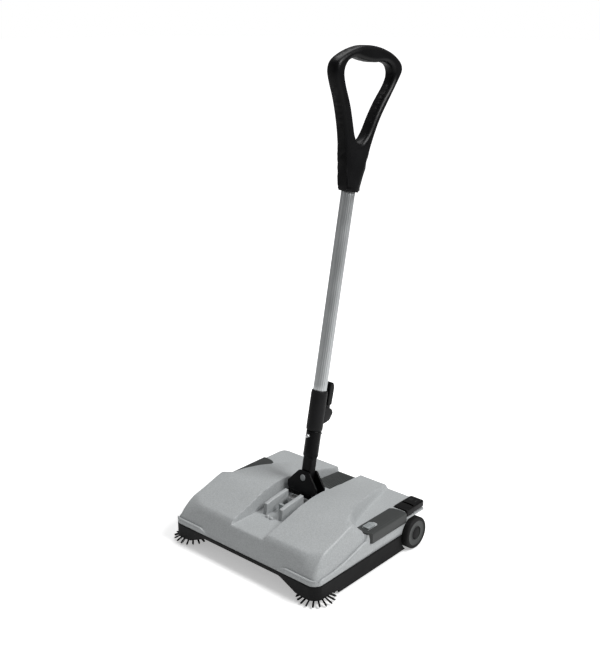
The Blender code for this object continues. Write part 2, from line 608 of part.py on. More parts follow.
def build_latch_button(root, side, name):
    """A D-shaped slide with three ribs on top and a stem through the insert's slot."""
    axis = add_axis(f"{name}_axis", root, (side * BUTTON_X, BUTTON_Y, SHOULDER_HEIGHT))
    low, high = 0.0008 + GAP, 0.0034
    half, rear = BUTTON_WIDTH / 2, BUTTON_LENGTH / 2
    turns = [math.pi * i / 8 for i in range(9)]
    outline = [(-half, -rear), (half, -rear)] + [(half * math.cos(t), rear - half + half * math.sin(t))
                                                 for t in turns]
    button = add_object(name, prism_mesh(name, outline, low, high), axis, "light_grey_abs")
    tool = Tool(button)
    for y in (-0.007, -0.002, 0.003):
        tool.add(box_mesh, (-0.0055, y - 0.001, high - 0.001), (0.0055, y + 0.001, high + 0.0008))
    tool.add(box_mesh, (-0.0045, -0.0095, -0.006), (0.0045, 0.0115, high - 0.001))


def switch_outline(front, rear):
    """Plan of a length of the foot switch, with the body's round corner at its outer rear end."""
    outline = [(SWITCH_INNER, front), (HALF + 0.003, front)]
    if rear > BODY_DEPTH - 0.01:
        centre = (HALF + 0.003 - 0.010, rear - 0.010)
        outline += [(centre[0] + 0.010 * math.cos(math.pi / 2 * i / 5),
                     centre[1] + 0.010 * math.sin(math.pi / 2 * i / 5))
                    for i in range(6)]
    else:
        outline.append((HALF + 0.003, rear))
    return outline + [(SWITCH_INNER, rear)]


def build_foot_switch(root):
    block = add_object("switch_block", prism_mesh("switch_block",
                                                  switch_outline(SWITCH_FRONT, SWITCH_SPLIT),
                       SWITCH_BASE, SWITCH_TOP), root, "black_abs")
    Tool(block).cut(box_mesh, (SWITCH_INNER + 0.002, SWITCH_FRONT + 0.002, 0.06),
                    (HALF, SWITCH_SPLIT - 0.004, SWITCH_TOP - 0.002))
    axis = add_axis("pedal_axis", root, (0, SWITCH_SPLIT + 0.003, SWITCH_BASE + 0.0035))
    front, rear = SWITCH_SPLIT + 0.0008, BODY_DEPTH - 0.0005
    outline = [(x, y - axis.location.y) for x, y in switch_outline(front, rear)]
    low = SWITCH_BASE + PEDAL_DROP - axis.location.z
    pedal = add_object("foot_pedal", prism_mesh("foot_pedal", outline, low, SWITCH_TOP - axis.location.z),
                       axis, "black_abs")
    tool = Tool(pedal)
    tool.cut(box_mesh, (SWITCH_INNER + 0.002, 0.007, low - 0.01), (HALF, rear - 0.013 - axis.location.y,
             SWITCH_TOP - 0.003 - axis.location.z))
    body = (SWITCH_INNER - 0.019, BODY_DEPTH - 0.024, 0.044)
    add_object("switch_body", box_mesh("switch_body", body,
                                       (SWITCH_INNER - 0.003, BODY_DEPTH - 0.006, 0.0575)), root,
               "black_abs")
    spring_y = BODY_DEPTH - 0.0180
    coil = (HALF - 0.014, spring_y)
    spring = turned_mesh("pedal_spring", tube_profile(0.0022, 0.0034, SWITCH_BASE, SWITCH_TOP - 0.0035),
                         segments=12,
                         centre=(*coil, 0))
    add_object("pedal_spring", spring, root, "steel")


def build_battery(root):
    """The ribbed battery cover, which lifts off, with the pack under it and the charging socket behind."""
    axis = add_axis("battery_cover_axis", root, (0, 0, 0))
    top = PANEL_HEIGHT - PANEL_SUNK
    plate = prism_mesh("battery_cover", panel_outline(0), top - PANEL_THICKNESS, top)
    panel = add_object("battery_cover", plate, axis, "dark_grey_abs")
    tool = Tool(panel)
    ribs = 11
    pitch = 2 * PANEL_REAR_HALF / (ribs + 1)
    for i in range(ribs):
        x = pitch * (i + 1) - PANEL_REAR_HALF
        tool.add(box_mesh, (x - PANEL_RIB, BODY_DEPTH - PANEL_LENGTH + 0.006, top - 0.001),
                 (x + PANEL_RIB, BODY_DEPTH - 0.008, top + 0.0014))
    front, rear = BODY_DEPTH - 0.064, BODY_DEPTH - 0.008
    pack = add_object("battery_pack", box_mesh("battery_pack", (-0.042, front, 0.0155),
                                               (0.042, rear, 0.0700)), root, "battery_wrap")
    bevel(pack, 0.003)
    socket = turned_mesh("charge_socket", tube_profile(0.0030, SOCKET_RADIUS, -0.0080, 0.0012), axis="Y",
                         segments=20, centre=(SOCKET_X, BODY_DEPTH, SOCKET_HEIGHT))
    add_object("charge_socket", socket, root, "black_abs")


def bevel(obj, width, segments=2):
    modifier = obj.modifiers.new("bevel", "BEVEL")
    modifier.width = width
    modifier.segments = segments
    modifier.limit_method = "ANGLE"
    modifier.angle_limit = math.radians(40)


# ---- brushes and drive -------------------------------------------------------------------------------------


def build_main_brush(root):
    """A core with tuft rows wound round it, a shaft at each end, and the belt pulley on the left shaft."""
    axis = add_axis("roller_axis", root, (0, ROLLER_Y, ROLLER_HEIGHT))
    half = ROLLER_LENGTH / 2
    shaft = SHEAVE_X + 0.006
    core, thin = ROLLER_CORE, SHAFT_RADIUS
    profile = [(0, shaft), (thin, shaft), (thin, half + 0.002), (core, half), (core, -half),
               (thin, -half - 0.002), (thin, -shaft), (0, -shaft)]
    brush = add_object("main_brush", turned_mesh("main_brush", profile, axis="X", segments=20), axis,
                       "bristle")
    tool = Tool(brush)
    tool.add(wound_fins, half - 0.001, core - 0.001, ROLLER_RADIUS, 4)
    for side, name in ((1, "roller_bearing_right"), (-1, "roller_bearing_left")):
        sheave = tube_profile(0.9 * SHAFT_RADIUS, SIDE_SHEAVE, -0.0022, 0.0022)
        tool.add(turned_mesh, sheave, axis="X", segments=20, centre=(side * SHEAVE_X, 0, 0))
        centre = (side * (BAY_HALF + 0.001), ROLLER_Y, ROLLER_HEIGHT)
        profile = tube_profile(SHAFT_RADIUS + RUN, BEARING_RADIUS, -0.002, 0.002)
        add_object(name, turned_mesh(name, profile, axis="X", segments=24, centre=centre), root, "steel")
    return axis


def wound_fins(name, half, inner, outer, count):
    """Blades that wind a quarter turn along the roller, as its rows of tufts do."""
    points, faces = [], []
    steps, thick = 4, 0.005
    for k in range(count):
        start = len(points)
        for i in range(steps + 1):
            x = -half + 2 * half * i / steps
            turn = 2 * math.pi * k / count + math.pi / 4 * i / steps
            out = Vector((0, math.cos(turn), math.sin(turn)))
            across = Vector((0, -math.sin(turn), math.cos(turn))) * thick / 2
            for r, s in ((inner, -1), (outer, -1), (outer, 1), (inner, 1)):
                points.append(Vector((x, 0, 0)) + out * r + across * s)
        for i in range(steps):
            a = start + 4 * i
            faces += [(a + j, a + (j + 1) % 4, a + 4 + (j + 1) % 4, a + 4 + j) for j in range(4)]
        faces += [range(start, start + 4), range(start + 4 * steps, start + 4 * steps + 4)]
    return mesh_of(name, points, faces)


def build_side_brush(root, side, name):
    """A hub with a ring of tufts that slope down and out, and its spindle."""
    axis = add_axis(f"{name}_axis", root, (side * SIDE_BRUSH_X, SIDE_BRUSH_Y, 0))
    profile = [(0, 0.046), (SPINDLE_RADIUS, 0.046), (SPINDLE_RADIUS, 0.0102), (0.0125, 0.0098),
               (0.0135, 0.0060),
               (0.011, 0.0045), (0, 0.0045)]
    hub = add_object(name, turned_mesh(name, profile, segments=20), axis, "bristle")
    tool = Tool(hub)
    for k in range(TUFTS):
        turn = 2 * math.pi * k / TUFTS
        tool.add(tuft, turn)
    groove, flange, bore = SIDE_PULLEY_GROOVE, SIDE_PULLEY_GROOVE + 0.0015, SPINDLE_RADIUS + GAP
    top, low = SIDE_PULLEY_HEIGHT + 0.0033, SIDE_PULLEY_HEIGHT - 0.0072
    pulley = [(bore, top), (flange, top), (flange, top - 0.0009), (groove, top - 0.0015),
              (groove, low + 0.0012), (flange, low + 0.0009), (flange, low), (bore, low)]
    pulley_name = name.replace("brush", "pulley")
    add_object(pulley_name, turned_mesh(pulley_name, pulley, segments=20), axis, "light_grey_abs")


def tuft(name, turn):
    """One bundle of bristles: it leaves the hub and droops to just over the floor."""
    sections = ((0.0105, 0.0075, 0.0009, 0.0012), (0.024, 0.0050, 0.0010, 0.0011),
                (SIDE_BRUSH_REACH, FLOOR_GAP + 0.0010, 0.0013, 0.0010))
    points = [(r, s * w, z + t * h) for r, z, w, h in sections for s,
              t in ((-1, -1), (1, -1), (1, 1), (-1, 1))]
    faces = [(a + j, a + (j + 1) % 4, a + 4 + (j + 1) % 4, a + 4 + j) for a in (0, 4) for j in range(4)]
    mesh = mesh_of(name, points, faces + [range(4), range(8, 12)])
    mesh.transform(Matrix.Rotation(turn, 4, "Z"))
    return mesh


def loop_mesh(name, first, second, radii, x, width, thick):
    """A flat belt round two pulleys, in the plane x. first and second are the pulleys' centres (y, z)."""
    outer, inner = [], []
    away = math.atan2(second[1] - first[1], second[0] - first[0])
    span = math.hypot(second[0] - first[0], second[1] - first[1])
    lean = math.acos((radii[0] - radii[1]) / span)
    for centre, radius, start, stop in ((first, radii[0], away + lean, away + 2 * math.pi - lean),
                                        (second, radii[1], away - lean, away + lean)):
        for i in range(9):
            turn = start + (stop - start) * i / 8
            for ring, grow in ((inner, GAP), (outer, GAP + thick)):
                ring.append((centre[0] + (radius + grow) * math.cos(turn),
                             centre[1] + (radius + grow) * math.sin(turn)))
    count = len(outer)
    points = [(px, y, z) for px in (x - width / 2, x + width / 2) for ring in (outer, inner) for y,
              z in ring]
    faces = []
    for i in range(count):
        j = (i + 1) % count
        for a, b in ((0, count), (count, 3 * count), (3 * count, 2 * count), (2 * count, 0)):
            faces.append((a + i, a + j, b + j, b + i))
    return mesh_of(name, points, faces)


def ring_belt(name, side):
    """A round belt that twists a quarter turn, from the roller shaft's sheave to the side brush's pulley."""
    wrap = SIDE_SHEAVE + SIDE_BELT_RADIUS + GAP
    climb = math.atan2(SIDE_PULLEY_HEIGHT - ROLLER_HEIGHT + wrap, ROLLER_Y - SIDE_BRUSH_Y)
    turns = np.linspace(math.pi / 2, -math.pi / 2 - climb, 13)
    back = [(SHEAVE_X, ROLLER_Y + wrap * math.cos(t), ROLLER_HEIGHT + wrap * math.sin(t)) for t in turns]
    reach = SIDE_BRUSH_X - SHEAVE_X
    turns = np.linspace(math.pi, 2 * math.pi + math.atan2(2 * reach, ROLLER_Y - SIDE_BRUSH_Y), 13)
    front = [(SIDE_BRUSH_X + reach * math.cos(t), SIDE_BRUSH_Y + reach * math.sin(t), SIDE_PULLEY_HEIGHT)
             for t in turns]
    path = np.array(back + front)
    path[:, 0] *= side
    return cord_mesh(name, path, SIDE_BELT_RADIUS, 6)


def cord_mesh(name, path, radius, sides):
    """A round cord along a closed path, with the section carried along without twist."""
    along = np.roll(path, -1, 0) - np.roll(path, 1, 0)
    along /= np.linalg.norm(along, axis=1)[:, None]
    points = []
    across = np.cross(along[0], (1, 0, 0))
    for place, direction in zip(path, along):
        across = across - direction * (across @ direction)
        across = across / np.linalg.norm(across)
        other = np.cross(direction, across)
        turns = [2 * math.pi * k / sides for k in range(sides)]
        points += [place + radius * (across * math.cos(t) + other * math.sin(t)) for t in turns]
    count = len(path)
    joined = np.array(points[-sides:]) - path[-1]
    shift = int(np.argmax(joined @ (points[0] - path[0])))
    faces = []
    for i in range(count):
        skip = shift if i == count - 1 else 0
        beyond = (i + 1) % count * sides
        faces += [(i * sides + (k + skip) % sides, i * sides + (k + 1 + skip) % sides,
                   beyond + (k + 1) % sides, beyond + k) for k in range(sides)]
    return mesh_of(name, points, faces)


def build_drive(root, roller_axis):
    for side, where in ((1, "right"), (-1, "left")):
        name = f"side_belt_{where}"
        add_object(name, ring_belt(name, side), root, "rubber")
    half = PULLEY_WIDTH / 2
    pulley = tube_profile(SHAFT_RADIUS + GAP, PULLEY_RADIUS, BELT_X - half, BELT_X + half)
    add_object("brush_pulley", turned_mesh("brush_pulley", pulley, axis="X", segments=24), roller_axis,
               "light_grey_abs")
    motor_axis = add_axis("motor_axis", root, (0, MOTOR_Y, MOTOR_HEIGHT))
    near = MOTOR_X - MOTOR_LENGTH / 2 + 0.012
    far = MOTOR_X + MOTOR_LENGTH / 2
    profile = [(0, far), (MOTOR_RADIUS, far), (MOTOR_RADIUS, near), (0.005, near), (0.005, near - 0.002),
               (0, near - 0.002)]
    add_object("drive_motor", turned_mesh("drive_motor", profile, axis="X", segments=24,
               centre=(0, MOTOR_Y, MOTOR_HEIGHT)), root, "steel")
    small = rod_profile(MOTOR_PULLEY_RADIUS, BELT_X - half, near - 0.002 - GAP)
    add_object("motor_pulley", turned_mesh("motor_pulley", small, axis="X", segments=20), motor_axis,
               "light_grey_abs")
    belt = loop_mesh("drive_belt", (ROLLER_Y, ROLLER_HEIGHT), (MOTOR_Y, MOTOR_HEIGHT),
                     (PULLEY_RADIUS, MOTOR_PULLEY_RADIUS), BELT_X, BELT_WIDTH, BELT_THICKNESS)
    add_object("drive_belt", belt, root, "rubber")


# ---- wheels, bin -------------------------------------------------------------------------------------------
def build_wheels(root):
    for side, where in ((1, "right"), (-1, "left")):
        axis = add_axis(f"wheel_{where}_axis", root, (0, WHEEL_Y, WHEEL_RADIUS))
        outer = HALF + WHEEL_PROUD
        inner = outer - WHEEL_WIDTH
        shapes = (
            ("wheel_tyre", [(WHEEL_RADIUS - 0.0025, outer), (WHEEL_RADIUS, outer - 0.003),
                            (WHEEL_RADIUS, inner + 0.003),
                            (WHEEL_RADIUS - 0.0025, inner), (RIM_RADIUS + GAP, inner),
                            (RIM_RADIUS + GAP, outer)], "rubber"),
            ("wheel_rim", [(RIM_RADIUS, outer - 0.0005), (RIM_RADIUS, inner + 0.001),
                           (AXLE_RADIUS + RUN, inner + 0.001),
                           (AXLE_RADIUS + RUN, outer - 0.005), (0.009, outer - 0.005),
                           (0.009, outer - 0.0045),
                           (0.0185, outer - 0.0045), (0.0195, outer - 0.0005)], "dark_grey_abs"),
            ("hub_cap", [(0, outer + 0.0008), (0.0075, outer + 0.0008), (0.0085, outer - 0.0004),
                         (0.0085, outer - 0.0044),
                         (0, outer - 0.0044)], "dark_grey_abs"),
        )
        for name, profile, finish in shapes:
            full = f"{name}_{where}"
            profile = profile if side > 0 else [(r, -h) for r, h in reversed(profile)]
            add_object(full, turned_mesh(full, profile, axis="X", segments=32), axis, finish)
        reach = [WELL_X - 0.008, outer - 0.006]
        profile = rod_profile(AXLE_RADIUS, *reach) if side > 0 else rod_profile(AXLE_RADIUS, -reach[1],
                -reach[0])
        name = f"wheel_axle_{where}"
        add_object(name, turned_mesh(name, profile, axis="X", segments=16,
                                     centre=(0, WHEEL_Y, WHEEL_RADIUS)), root, "steel")
        name = f"front_roller_{where}"
        axis = add_axis(f"{name}_axis", root, (side * FRONT_ROLLER_X, FRONT_ROLLER_Y, FRONT_ROLLER_RADIUS))
        half = FRONT_ROLLER_WIDTH / 2
        profile = [(0, half + 0.0035), (0.002, half + 0.0035), (0.002, half),
                   (FRONT_ROLLER_RADIUS, half - 0.001),
                   (FRONT_ROLLER_RADIUS, -half + 0.001), (0.002, -half), (0.002, -half - 0.0035),
                   (0, -half - 0.0035)]
        add_object(name, turned_mesh(name, profile, axis="X", segments=20), axis, "black_abs")


def build_dust_bin(root):
    """A tray open at the top and front. It drops out of the bay under the deck."""
    axis = add_axis("bin_axis", root, (0, BIN_Y + BIN_LENGTH / 2, SKIRT_GAP))
    half = BIN_WIDTH / 2
    low, top = 0.0025, BIN_TOP - SKIRT_GAP
    front, rear = -BIN_LENGTH / 2, BIN_LENGTH / 2
    tray = add_object("dust_bin", box_mesh("dust_bin", (-half, front, low), (half, rear, top)), axis,
                      "clear_bin")
    tool = Tool(tray)
    tool.cut(box_mesh, (-half + BIN_WALL, front + BIN_WALL, low + BIN_WALL),
             (half - BIN_WALL, rear - BIN_WALL, top + 0.01))
    tool.cut(box_mesh, (-half + BIN_WALL, front - 0.01, low + 0.016),
             (half - BIN_WALL, front + 0.02, top + 0.01))
    lip = box_mesh("dust_lip", (-half + 0.002, front - 0.0045, low - 0.0005),
                   (half - 0.002, front - GAP, low + 0.012))
    add_object("dust_lip", lip, axis, "rubber")


# ---- handle ------------------------------------------------------------------------------------------------
def build_yoke(pitch):
    """Two plates on a barrel. The neck swings sideways between them, on the rivet."""
    half, deep = YOKE_WIDTH / 2, YOKE_DEPTH / 2
    barrel = rod_profile(YOKE_BARREL, -half, half)
    yoke = add_object("yoke", turned_mesh("yoke", barrel, axis="X", segments=24), pitch, "grip_plastic")
    tool = Tool(yoke)
    plate = [(-0.022, 0.0), (0.022, 0.0), (half - 0.001, 0.0105), (half, 0.020), (0.012, 0.0455),
             (-0.012, 0.0455),
             (-half, 0.020), (-half + 0.001, 0.0105)]
    tool.add(prism_mesh, plate, -deep, -deep + YOKE_PLATE, axis="Y")
    tool.add(prism_mesh, plate, deep - YOKE_PLATE, deep, axis="Y")
    tool.add(box_mesh, (-0.020, -deep + 0.001, -0.003), (0.020, deep - 0.001, 0.012))
    tool.cut(turned_mesh, rod_profile(PIN_RADIUS + RUN, -half - 0.01, half + 0.01), axis="X", segments=16)
    tool.cut(turned_mesh, rod_profile(RIVET_RADIUS + GAP, -0.03, 0.03), axis="Y", segments=16,
             centre=(0, 0, ROLL_OFFSET))
    length = TROUGH_HALF + 0.0085
    pin = turned_mesh("yoke_pin", rod_profile(PIN_RADIUS, -length, length), axis="X", segments=16)
    add_object("yoke_pin", pin, pitch, "steel")
    deep += GAP
    head = [(0, deep + 0.0022), (0.005, deep + 0.0020), (0.0074, deep + 0.0006), (0.0074, deep),
            (RIVET_RADIUS, deep),
            (RIVET_RADIUS, -deep), (0.0074, -deep), (0.0074, -deep - 0.0006), (0.005, -deep - 0.0020),
            (0, -deep - 0.0022)]
    add_object("neck_rivet", turned_mesh("neck_rivet", head, axis="Y", segments=20,
                                         centre=(0, 0, ROLL_OFFSET)), pitch, "steel")


def build_neck(pitch):
    """The neck fitting: a flat tang on the rivet that grows into a round socket for the inner tube."""
    roll = add_axis("roll_axis", pitch, (0, 0, ROLL_OFFSET))
    half = NECK_WIDTH / 2
    tang = YOKE_DEPTH / 2 - YOKE_PLATE - 0.0006
    outline = [(half * math.cos(t), half * math.sin(t))
               for t in [math.pi + math.pi * i / 12 for i in range(13)]]
    outline += [(half, 0.012), (half, 0.038), (FITTING_RADIUS, 0.046), (-FITTING_RADIUS, 0.046),
                (-half, 0.038), (-half, 0.012)]
    neck = add_object("neck_fitting", prism_mesh("neck_fitting", outline, -tang, tang, axis="Y"), roll,
                      "grip_plastic")
    tool = Tool(neck)
    body = [(0, FITTING_TOP - ROLL_OFFSET), (FITTING_RADIUS, FITTING_TOP - ROLL_OFFSET),
            (FITTING_RADIUS, 0.046),
            (0.010, 0.034), (0, 0.034)]
    tool.add(turned_mesh, body, segments=28)
    tool.cut(turned_mesh, rod_profile(RIVET_RADIUS + RUN, -0.03, 0.03), axis="Y", segments=16)
    tool.cut(turned_mesh, rod_profile(INNER_RADIUS + GAP, INNER_BASE - GAP - ROLL_OFFSET, 0.2), segments=24)
    tool.cut(turned_mesh, rod_profile(BOLT_RADIUS + GAP, -0.03, 0.03), axis="Y", segments=12,
             centre=(0, 0, BOLT_HEIGHT))
    inner = tube_profile(INNER_RADIUS - TUBE_WALL, INNER_RADIUS, INNER_BASE - ROLL_OFFSET,
                         INNER_TUBE_TOP - ROLL_OFFSET)
    tube = add_object("inner_tube", turned_mesh("inner_tube", inner, segments=24), roll,
                      "anodised_aluminium")
    Tool(tube).cut(turned_mesh, rod_profile(BOLT_RADIUS + GAP, -0.03, 0.03), axis="Y", segments=12,
                   centre=(0, 0, BOLT_HEIGHT))
    face = FITTING_RADIUS + GAP
    end = face + BOLT_END
    bolt = [(0, end), (BOLT_RADIUS, end), (BOLT_RADIUS, -face), (BOLT_HEAD, -face),
            (BOLT_HEAD, -face - 0.0034),
            (BOLT_HEAD - 0.0009, -face - 0.0042), (0, -face - 0.0042)]
    add_object("cross_bolt", turned_mesh("cross_bolt", bolt, axis="Y", segments=16,
                                         centre=(0, 0, BOLT_HEIGHT)), roll, "steel")
    nut = tube_profile((BOLT_RADIUS + GAP) / math.cos(math.pi / 6), BOLT_HEAD, face, face + 0.0040)
    add_object("cross_nut", turned_mesh("cross_nut", nut, axis="Y", segments=6, centre=(0, 0, BOLT_HEIGHT)),
               roll, "steel")
    return roll


def build_pole(roll):
    """The outer tube with its clamp sleeve, cam lever and grip. It slides on the inner tube."""
    slide = add_axis("telescope_axis", roll, (0, 0, -ROLL_OFFSET))
    base = FITTING_TOP + 0.0004
    seat = base + 0.030
    tube = tube_profile(TUBE_RADIUS - TUBE_WALL, TUBE_RADIUS, seat, GRIP_BASE + GRIP_SOCKET_DEPTH)
    add_object("outer_tube", turned_mesh("outer_tube", tube, segments=28), slide, "anodised_aluminium")
    bore = TUBE_RADIUS + GAP
    profile = [(SLEEVE_RADIUS - 0.001, SLEEVE_TOP), (SLEEVE_RADIUS, SLEEVE_TOP - 0.002),
               (SLEEVE_RADIUS, base + 0.001),
               (SLEEVE_RADIUS - 0.001, base), (INNER_RADIUS + 0.0003, base),
               (INNER_RADIUS + 0.0003, seat - GAP),
               (bore, seat - GAP), (bore, SLEEVE_TOP)]
    sleeve = add_object("clamp_sleeve", turned_mesh("clamp_sleeve", profile, segments=28), slide,
                        "grip_plastic")
    tool = Tool(sleeve)
    ear = [(SLEEVE_RADIUS - 0.0015, LEVER_Z + 0.013), (SLEEVE_RADIUS + 0.016, LEVER_Z + 0.010),
           (SLEEVE_RADIUS + 0.0215, LEVER_Z + 0.002),
           (SLEEVE_RADIUS + 0.014, LEVER_Z - 0.012), (SLEEVE_RADIUS - 0.0015, LEVER_Z - 0.017)]
    tool.add(prism_mesh, ear, -0.0095, 0.0095, axis="X")
    tool.cut(box_mesh, (-0.0055, SLEEVE_RADIUS + 0.0005, LEVER_Z - 0.009), (0.0055, 0.06, LEVER_Z + 0.03))
    tool.cut(turned_mesh, rod_profile(LEVER_PIN + GAP, -0.02, 0.02), axis="X", segments=12,
             centre=(0, LEVER_Y, LEVER_Z))
    pin = rod_profile(LEVER_PIN, -0.0092, 0.0092)
    add_object("lever_pin", turned_mesh("lever_pin", pin, axis="X", segments=12,
                                        centre=(0, LEVER_Y, LEVER_Z)), slide, "steel")
    lever_axis = add_axis("lever_axis", slide, (0, LEVER_Y, LEVER_Z))
    cam = 0.0072
    outline = [(cam * math.cos(t), cam * math.sin(t))
               for t in [math.radians(a) for a in range(170, 371, 20)]]
    outline += [(0.006, 0.016), (0.0068, 0.040), (0.0068, 0.052), (0.003, 0.0585), (-0.005, 0.0605),
                (-0.0062, 0.052), (-0.0062, 0.016)]
    lever = add_object("clamp_lever", prism_mesh("clamp_lever", outline, -0.0050, 0.0050, axis="X"),
                       lever_axis, "grip_plastic")
    tool = Tool(lever)
    tool.add(prism_mesh, [(-0.0062, 0.0175), (0.0062, 0.0175), (0.0068, 0.052), (0.003, 0.0585),
                          (-0.005, 0.0605), (-0.0062, 0.052)],
             -0.0085, 0.0085, axis="X")
    tool.cut(turned_mesh, rod_profile(LEVER_PIN + RUN, -0.02, 0.02), axis="X", segments=12)
    return slide


def smooth_loop(points, steps):
    """A closed smooth curve through the points (Catmull-Rom), with so many steps for each stretch."""
    points = np.array(points, float)
    before, after, beyond = np.roll(points, 1, 0), np.roll(points, -1, 0), np.roll(points, -2, 0)
    pieces = []
    for t in np.arange(steps) / steps:
        pieces.append(0.5 * (2 * points + (after - before) * t
                             + (2 * before - 5 * points + 4 * after - beyond) * t ** 2
                             + (3 * points - before - 3 * after + beyond) * t ** 3))
    return np.stack(pieces, 1).reshape(-1, 2)


def build_grip(slide):
    """A loop handle in the fore-and-aft plane, on a socket over the outer tube."""
    half = GRIP_THICKNESS / 2
    outline = [tuple(point) for point in smooth_loop(GRIP_OUTER, 2)]
    outline = [(y, max(z, 0.004)) for y, z in outline]
    lifted = [(y, z + GRIP_BASE) for y, z in outline]
    blank = prism_mesh("grip", lifted, -half, half, axis="X")
    grip = add_object("grip", blank, slide, "grip_plastic")
    tool = Tool(grip)
    hole = [(y, z + GRIP_BASE) for y, z in smooth_loop(GRIP_HOLE, 2)]
    tool.cut(prism_mesh, hole, -0.05, 0.05, axis="X")
    bevel(grip, GRIP_FILLET)
    socket = [(0, GRIP_BASE + 0.060), (0.010, GRIP_BASE + 0.060), (0.0182, GRIP_BASE + 0.020),
              (0.0178, GRIP_BASE), (0, GRIP_BASE)]
    tool.add(turned_mesh, socket, segments=28)
    tool.cut(turned_mesh, rod_profile(TUBE_RADIUS + GAP, GRIP_BASE - 0.01, GRIP_BASE + GRIP_SOCKET_DEPTH
                                      + GAP), segments=24)


def build_park_latch(root):
    """A sprung slide between the trough's ribs. Its nose rests on the yoke and holds the handle up."""
    axis = add_axis("latch_axis", root, (0, LATCH_Y, PITCH_HEIGHT - 0.004))
    plate = [(-0.0095, -0.006), (0.0095, -0.006), (0.0095, 0.0), (0.005, LATCH_NOSE), (-0.005, LATCH_NOSE),
             (-0.0095, 0.0)]
    latch = add_object("park_latch", prism_mesh("park_latch", plate, -0.0045, 0.0035), axis, "steel")
    Tool(latch).add(box_mesh, (-0.0035, -0.005, 0.000), (0.0035, -0.002, 0.009))
    front = LATCH_Y - 0.006 - GAP - 0.020
    spring = tube_profile(0.0022, 0.0038, front, front + 0.020)
    add_object("latch_spring", turned_mesh("latch_spring", spring, axis="Y", segments=12,
               centre=(0, 0, PITCH_HEIGHT - 0.0045)), root, "steel")
    stop = box_mesh("latch_seat", (-0.008, front - 0.005, TROUGH_FLOOR + GAP),
                    (0.008, front - GAP, PITCH_HEIGHT + 0.001))
    add_object("latch_seat", stop, root, "light_grey_abs")


def build_screws(root):
    for k, (x, y) in enumerate(BOSSES):
        name = f"cover_screw_{k + 1}"
        tip = BOSS_LOW + 0.009
        profile = [(0, tip), (SCREW_RADIUS, tip), (SCREW_RADIUS, 0.0117), (0.0035, 0.0117),
                   (0.0035, 0.0097), (0, 0.0097)]
        add_object(name, turned_mesh(name, profile, segments=12, centre=(x, y, 0)), root, "steel")


def settle(root):
    """Moves everything along Y, so that the middle of the box is over the origin."""
    bpy.context.view_layer.update()
    graph = bpy.context.evaluated_depsgraph_get()
    reach = []
    for obj in bpy.context.scene.objects:
        if obj.type == "MESH" and not obj.hide_render:
            whole = obj.evaluated_get(graph)
            mesh = whole.to_mesh()
            reach += [(whole.matrix_world @ vertex.co).y for vertex in mesh.vertices]
            whole.to_mesh_clear()
    root.location.y = -(min(reach) + max(reach)) / 2


def main():
    clear_scene()
    root = add_axis("floor_datum", None, (0, 0, 0))
    build_base_chassis(root)
    build_top_cover(root)
    for side, where in ((1, "right"), (-1, "left")):
        build_side_insert(root, side, f"side_insert_{where}")
        build_latch_button(root, side, f"latch_button_{where}")
        build_side_brush(root, side, f"side_brush_{where}")
    build_foot_switch(root)
    build_battery(root)
    build_drive(root, build_main_brush(root))
    build_wheels(root)
    build_dust_bin(root)
    build_park_latch(root)
    pitch = add_axis("pitch_axis", root, (0, PITCH_Y, PITCH_HEIGHT), (-LEAN, 0, 0))
    build_yoke(pitch)
    build_grip(build_pole(build_neck(pitch)))
    build_screws(root)
    settle(root)


main()
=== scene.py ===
"""Looks of a battery floor sweeper: shells, brushes, wheels and a telescopic handle round the CAD frame.

Lengths are metres unless a name ends in _mm. +Z is up, -Y is the way the sweeper is pushed, +X is its right.
Each sub-assembly is a class that holds its sizes; each surface is a formula on a grid of two parameters.
"""

from __future__ import annotations

import json
import logging
import math
from dataclasses import dataclass, field
from enum import Enum

import bmesh
import bpy
import numpy as np
from mathutils import Matrix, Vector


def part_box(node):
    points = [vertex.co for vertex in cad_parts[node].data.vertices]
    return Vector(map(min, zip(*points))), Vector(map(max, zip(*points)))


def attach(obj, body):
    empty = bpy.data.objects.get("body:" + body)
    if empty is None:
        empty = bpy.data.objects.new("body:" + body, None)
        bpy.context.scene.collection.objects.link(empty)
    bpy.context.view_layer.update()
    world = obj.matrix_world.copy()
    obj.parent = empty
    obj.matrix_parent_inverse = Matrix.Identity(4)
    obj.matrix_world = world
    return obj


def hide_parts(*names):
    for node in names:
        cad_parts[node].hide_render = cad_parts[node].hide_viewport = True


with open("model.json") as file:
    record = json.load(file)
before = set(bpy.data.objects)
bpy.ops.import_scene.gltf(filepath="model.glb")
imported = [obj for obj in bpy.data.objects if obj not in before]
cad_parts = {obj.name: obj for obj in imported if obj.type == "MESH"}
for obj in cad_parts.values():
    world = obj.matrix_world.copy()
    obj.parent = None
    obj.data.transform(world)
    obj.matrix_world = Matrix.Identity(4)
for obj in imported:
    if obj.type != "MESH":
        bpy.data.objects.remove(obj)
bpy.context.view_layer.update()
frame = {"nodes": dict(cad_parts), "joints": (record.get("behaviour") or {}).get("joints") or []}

LOG = logging.getLogger("sweeper")
MM = 0.001
Array = np.ndarray


# ---- small helpers -----------------------------------------------------------------------------------------
class Side(Enum):
    """Left or right half of the sweeper, with the sign of its X."""

    LEFT = -1
    RIGHT = 1

    @property
    def word(self) -> str:
        """The side's name in lower case."""
        return self.name.lower()


class Shading(Enum):
    """How wide an angle still counts as one smooth surface, in degrees."""

    NORMAL = 42
    SOFT = 75


def joint_of(name: str) -> dict[str, object]:
    """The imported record's joint of that name."""
    return next(joint for joint in frame["joints"] if joint["name"] == name)


def ease(value: Array) -> Array:
    """Smooth step: 3t^2 - 2t^3, with t held between 0 and 1."""
    value = np.clip(value, 0.0, 1.0)
    return value * value * (3.0 - 2.0 * value)


